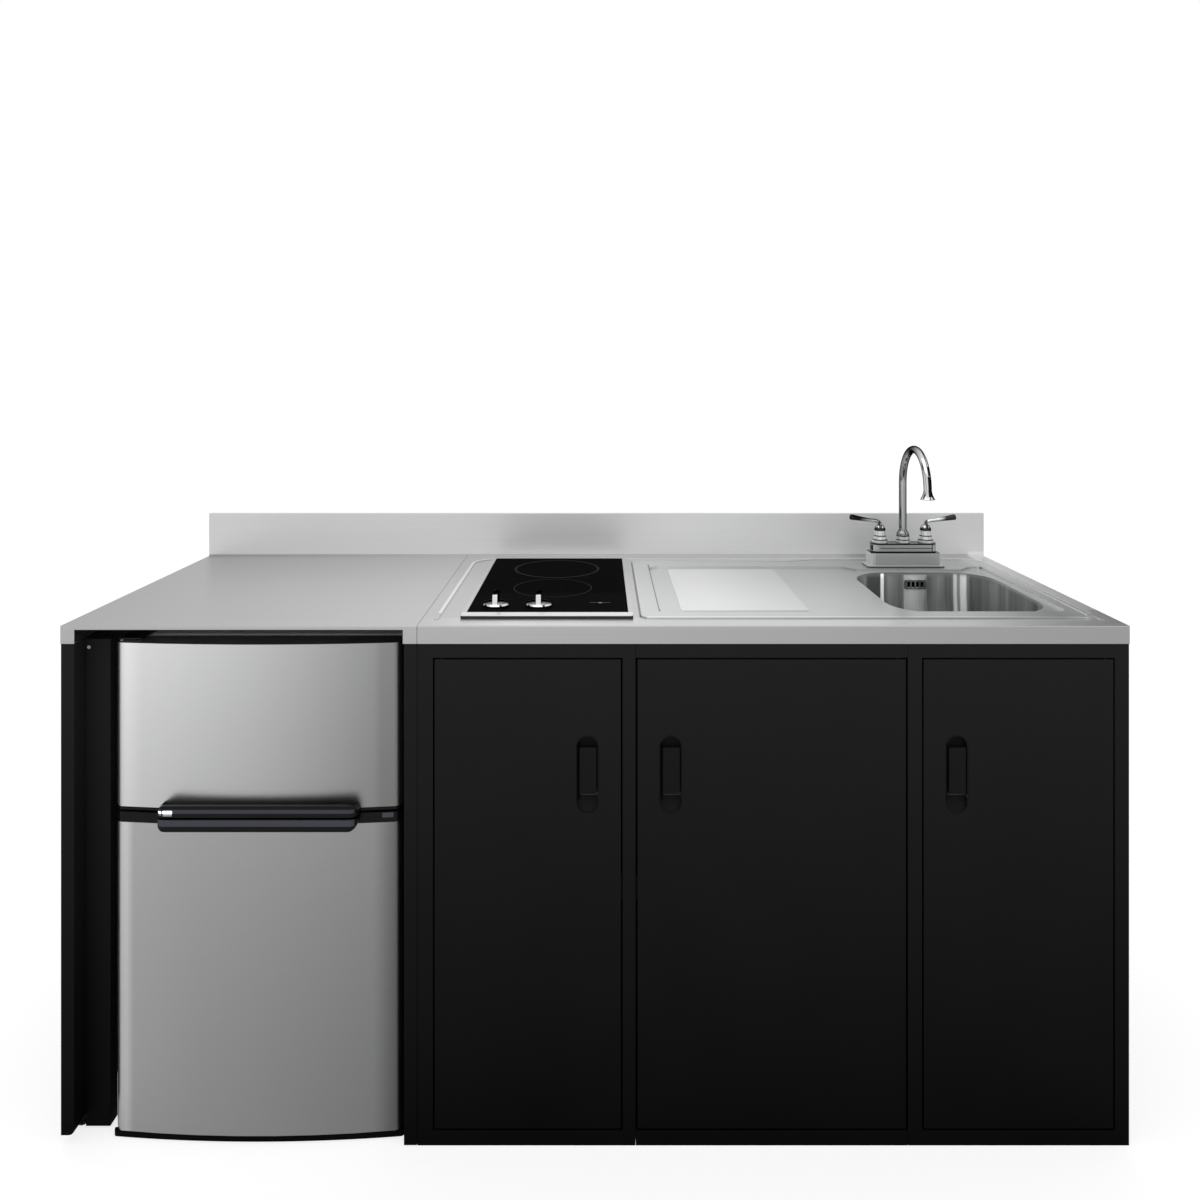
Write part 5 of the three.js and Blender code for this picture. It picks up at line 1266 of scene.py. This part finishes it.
# ---- The studio
@dataclass
class Studio:
    """The floor, the lights, the backdrop's white and the camera."""

    camera_place: Triple = (0.0085, -1.906, 1.324)
    lens: float = 28.11
    shift_y: float = -0.19
    floor_half: float = 14.0
    sky: float = 0.6
    sky_span: Pair = (-0.7, 0.25)
    sky_gloss: Pair = (0.7, 0.88)
    floor_tone: float = 0.5
    floor_seen: float = 0.735
    floor_span: Pair = (-1.5, 3.4)
    floor_gloss: Pair = (1.15, 0.8)
    floor_lit: float = 0.3
    near_span: Pair = (-5.5, -0.4)
    near_floor: float = 0.4
    floor_drop: float = 0.0005
    flag_gloss: float = 0.03
    flag_core: float = 0.6
    flag_rim: float = 1.4
    flags: tuple[Pair, ...] = ((-0.86, 0.05), (0.5, 0.12), (0.93, 0.04))
    lamp_place: Triple = (-0.3, -0.9, 3.6)
    lamp_aim: Triple = (0.0, 0.0, 0.8)
    lamp_size: Pair = (3.4, 2.4)
    lamp_watts: float = 16.0

    def masks(self, tree: Tree) -> tuple[Socket, Socket]:
        """Adds the masks of the rays that look at the backdrop.

        Args:
            tree: a material's or the world's tree.

        Returns:
            The mask of the camera's rays and those through glass, and the mask of the rays off gloss.
        """
        path = tree.nodes.new("ShaderNodeLightPath")
        camera, through = path.outputs["Is Camera Ray"], path.outputs["Is Transmission Ray"]
        clear = math_node(tree, "MAXIMUM", camera, through)
        gloss = math_node(tree, "SUBTRACT", path.outputs["Is Glossy Ray"], clear)
        return clear, math_node(tree, "MAXIMUM", gloss, 0.0)

    def world(self) -> None:
        """Makes the world: white where it is seen, softer as light, with dark flags in what shines."""
        world = bpy.data.worlds.new("studio")
        bpy.context.scene.world = world
        world.use_nodes = True
        tree = world.node_tree
        background = tree.nodes["Background"]
        background.inputs["Color"].default_value = (1.0, 1.0, 1.0, 1.0)
        clear, gloss = self.masks(tree)
        across = split(tree, tree.nodes.new("ShaderNodeTexCoord").outputs["Generated"]).outputs["X"]
        shine = map_range(tree, across, self.sky_span, self.sky_gloss, smooth=True)
        for middle, half in self.flags:
            off = math_node(tree, "ABSOLUTE", math_node(tree, "SUBTRACT", across, middle))
            span = (half * self.flag_core, half * self.flag_rim)
            dark = map_range(tree, off, span, (self.flag_gloss, 1.0))
            shine = math_node(tree, "MULTIPLY", shine, dark)
        gain = math_node(tree, "MULTIPLY_ADD", clear, 1.0 - self.sky, self.sky)
        gain = math_node(tree, "MULTIPLY_ADD", gloss, math_node(tree, "SUBTRACT", shine, self.sky), gain)
        tree.links.new(gain, background.inputs["Strength"])

    def floor(self) -> None:
        """Makes the pale floor, which looks white to the camera and keeps the unit's shadow."""
        bm = bmesh.new()
        bmesh.ops.create_grid(bm, x_segments=1, y_segments=1, size=self.floor_half)
        floor = place_shape(bm, "studio_floor")
        floor.location.z = -self.floor_drop
        material = bpy.data.materials.new("floor_white")
        material.use_nodes = True
        tree = material.node_tree
        tree.nodes.clear()
        out = tree.nodes.new("ShaderNodeOutputMaterial")
        pale = tree.nodes.new("ShaderNodeBsdfDiffuse")
        pale.inputs["Color"].default_value = (self.floor_tone, self.floor_tone, self.floor_tone, 1.0)
        glow = tree.nodes.new("ShaderNodeEmission")
        both = tree.nodes.new("ShaderNodeAddShader")
        clear, gloss = self.masks(tree)
        parts = split(tree, object_place(tree))
        side = map_range(tree, parts.outputs["X"], self.floor_span, self.floor_gloss, smooth=True)
        depth = map_range(tree, parts.outputs["Y"], self.near_span, (1.0, self.near_floor), smooth=True)
        shine = math_node(tree, "MULTIPLY_ADD", side, depth, -self.floor_lit)
        white = math_node(tree, "MULTIPLY", clear, self.floor_seen)
        tree.links.new(math_node(tree, "MULTIPLY_ADD", gloss, shine, white), glow.inputs["Strength"])
        tree.links.new(pale.outputs[0], both.inputs[0])
        tree.links.new(glow.outputs[0], both.inputs[1])
        tree.links.new(both.outputs[0], out.inputs["Surface"])
        floor.data.materials.append(material)

    def lamp(self) -> None:
        """Hangs the one soft lamp, over the front of the unit."""
        data = bpy.data.lights.new("top_softbox", "AREA")
        data.shape = "RECTANGLE"
        data.size, data.size_y = self.lamp_size
        data.energy = self.lamp_watts
        lamp = place_object("top_softbox", data)
        lamp.location = self.lamp_place
        aim = Vector(self.lamp_aim) - Vector(self.lamp_place)
        lamp.rotation_euler = aim.to_track_quat("-Z", "Y").to_euler()

    def camera(self) -> None:
        """Sets up the level camera of the photograph."""
        data = bpy.data.cameras.new("camera")
        data.lens = self.lens
        data.sensor_width = 36.0
        data.shift_y = self.shift_y
        camera = place_object("camera", data)
        camera.location = self.camera_place
        camera.rotation_euler = (math.radians(90), 0.0, 0.0)
        bpy.context.scene.camera = camera

    def build(self) -> None:
        """Builds the whole studio."""
        bpy.context.scene.view_settings.view_transform = "Standard"
        self.camera()
        self.world()
        self.floor()
        self.lamp()


def main() -> None:
    """Builds the studio and every piece of the kitchen unit."""
    logging.basicConfig(level=logging.INFO, format="%(message)s")
    Studio().build()
    FramePieces().dress()
    Seal("hob_seal", "rubber", HOB_SEAM, 0.0003).build()
    WellStep().build()
    Spout().build()
    Lever("hot_lever", 0.635, -1.0).build()
    Lever("cold_lever", 0.737, 1.0).build()
    FridgeToe().build()
    Seal("splash_joint", "brushed_steel", SPLASH_SEAM, 0.0002).build()
    ScrewHead("top_hinge_screw", (-0.8262, -0.268, 0.8535)).build()
    ScrewHead("filler_screw", (-0.8855, -0.266, 0.8427)).build()


if __name__ == "__main__":
    main()
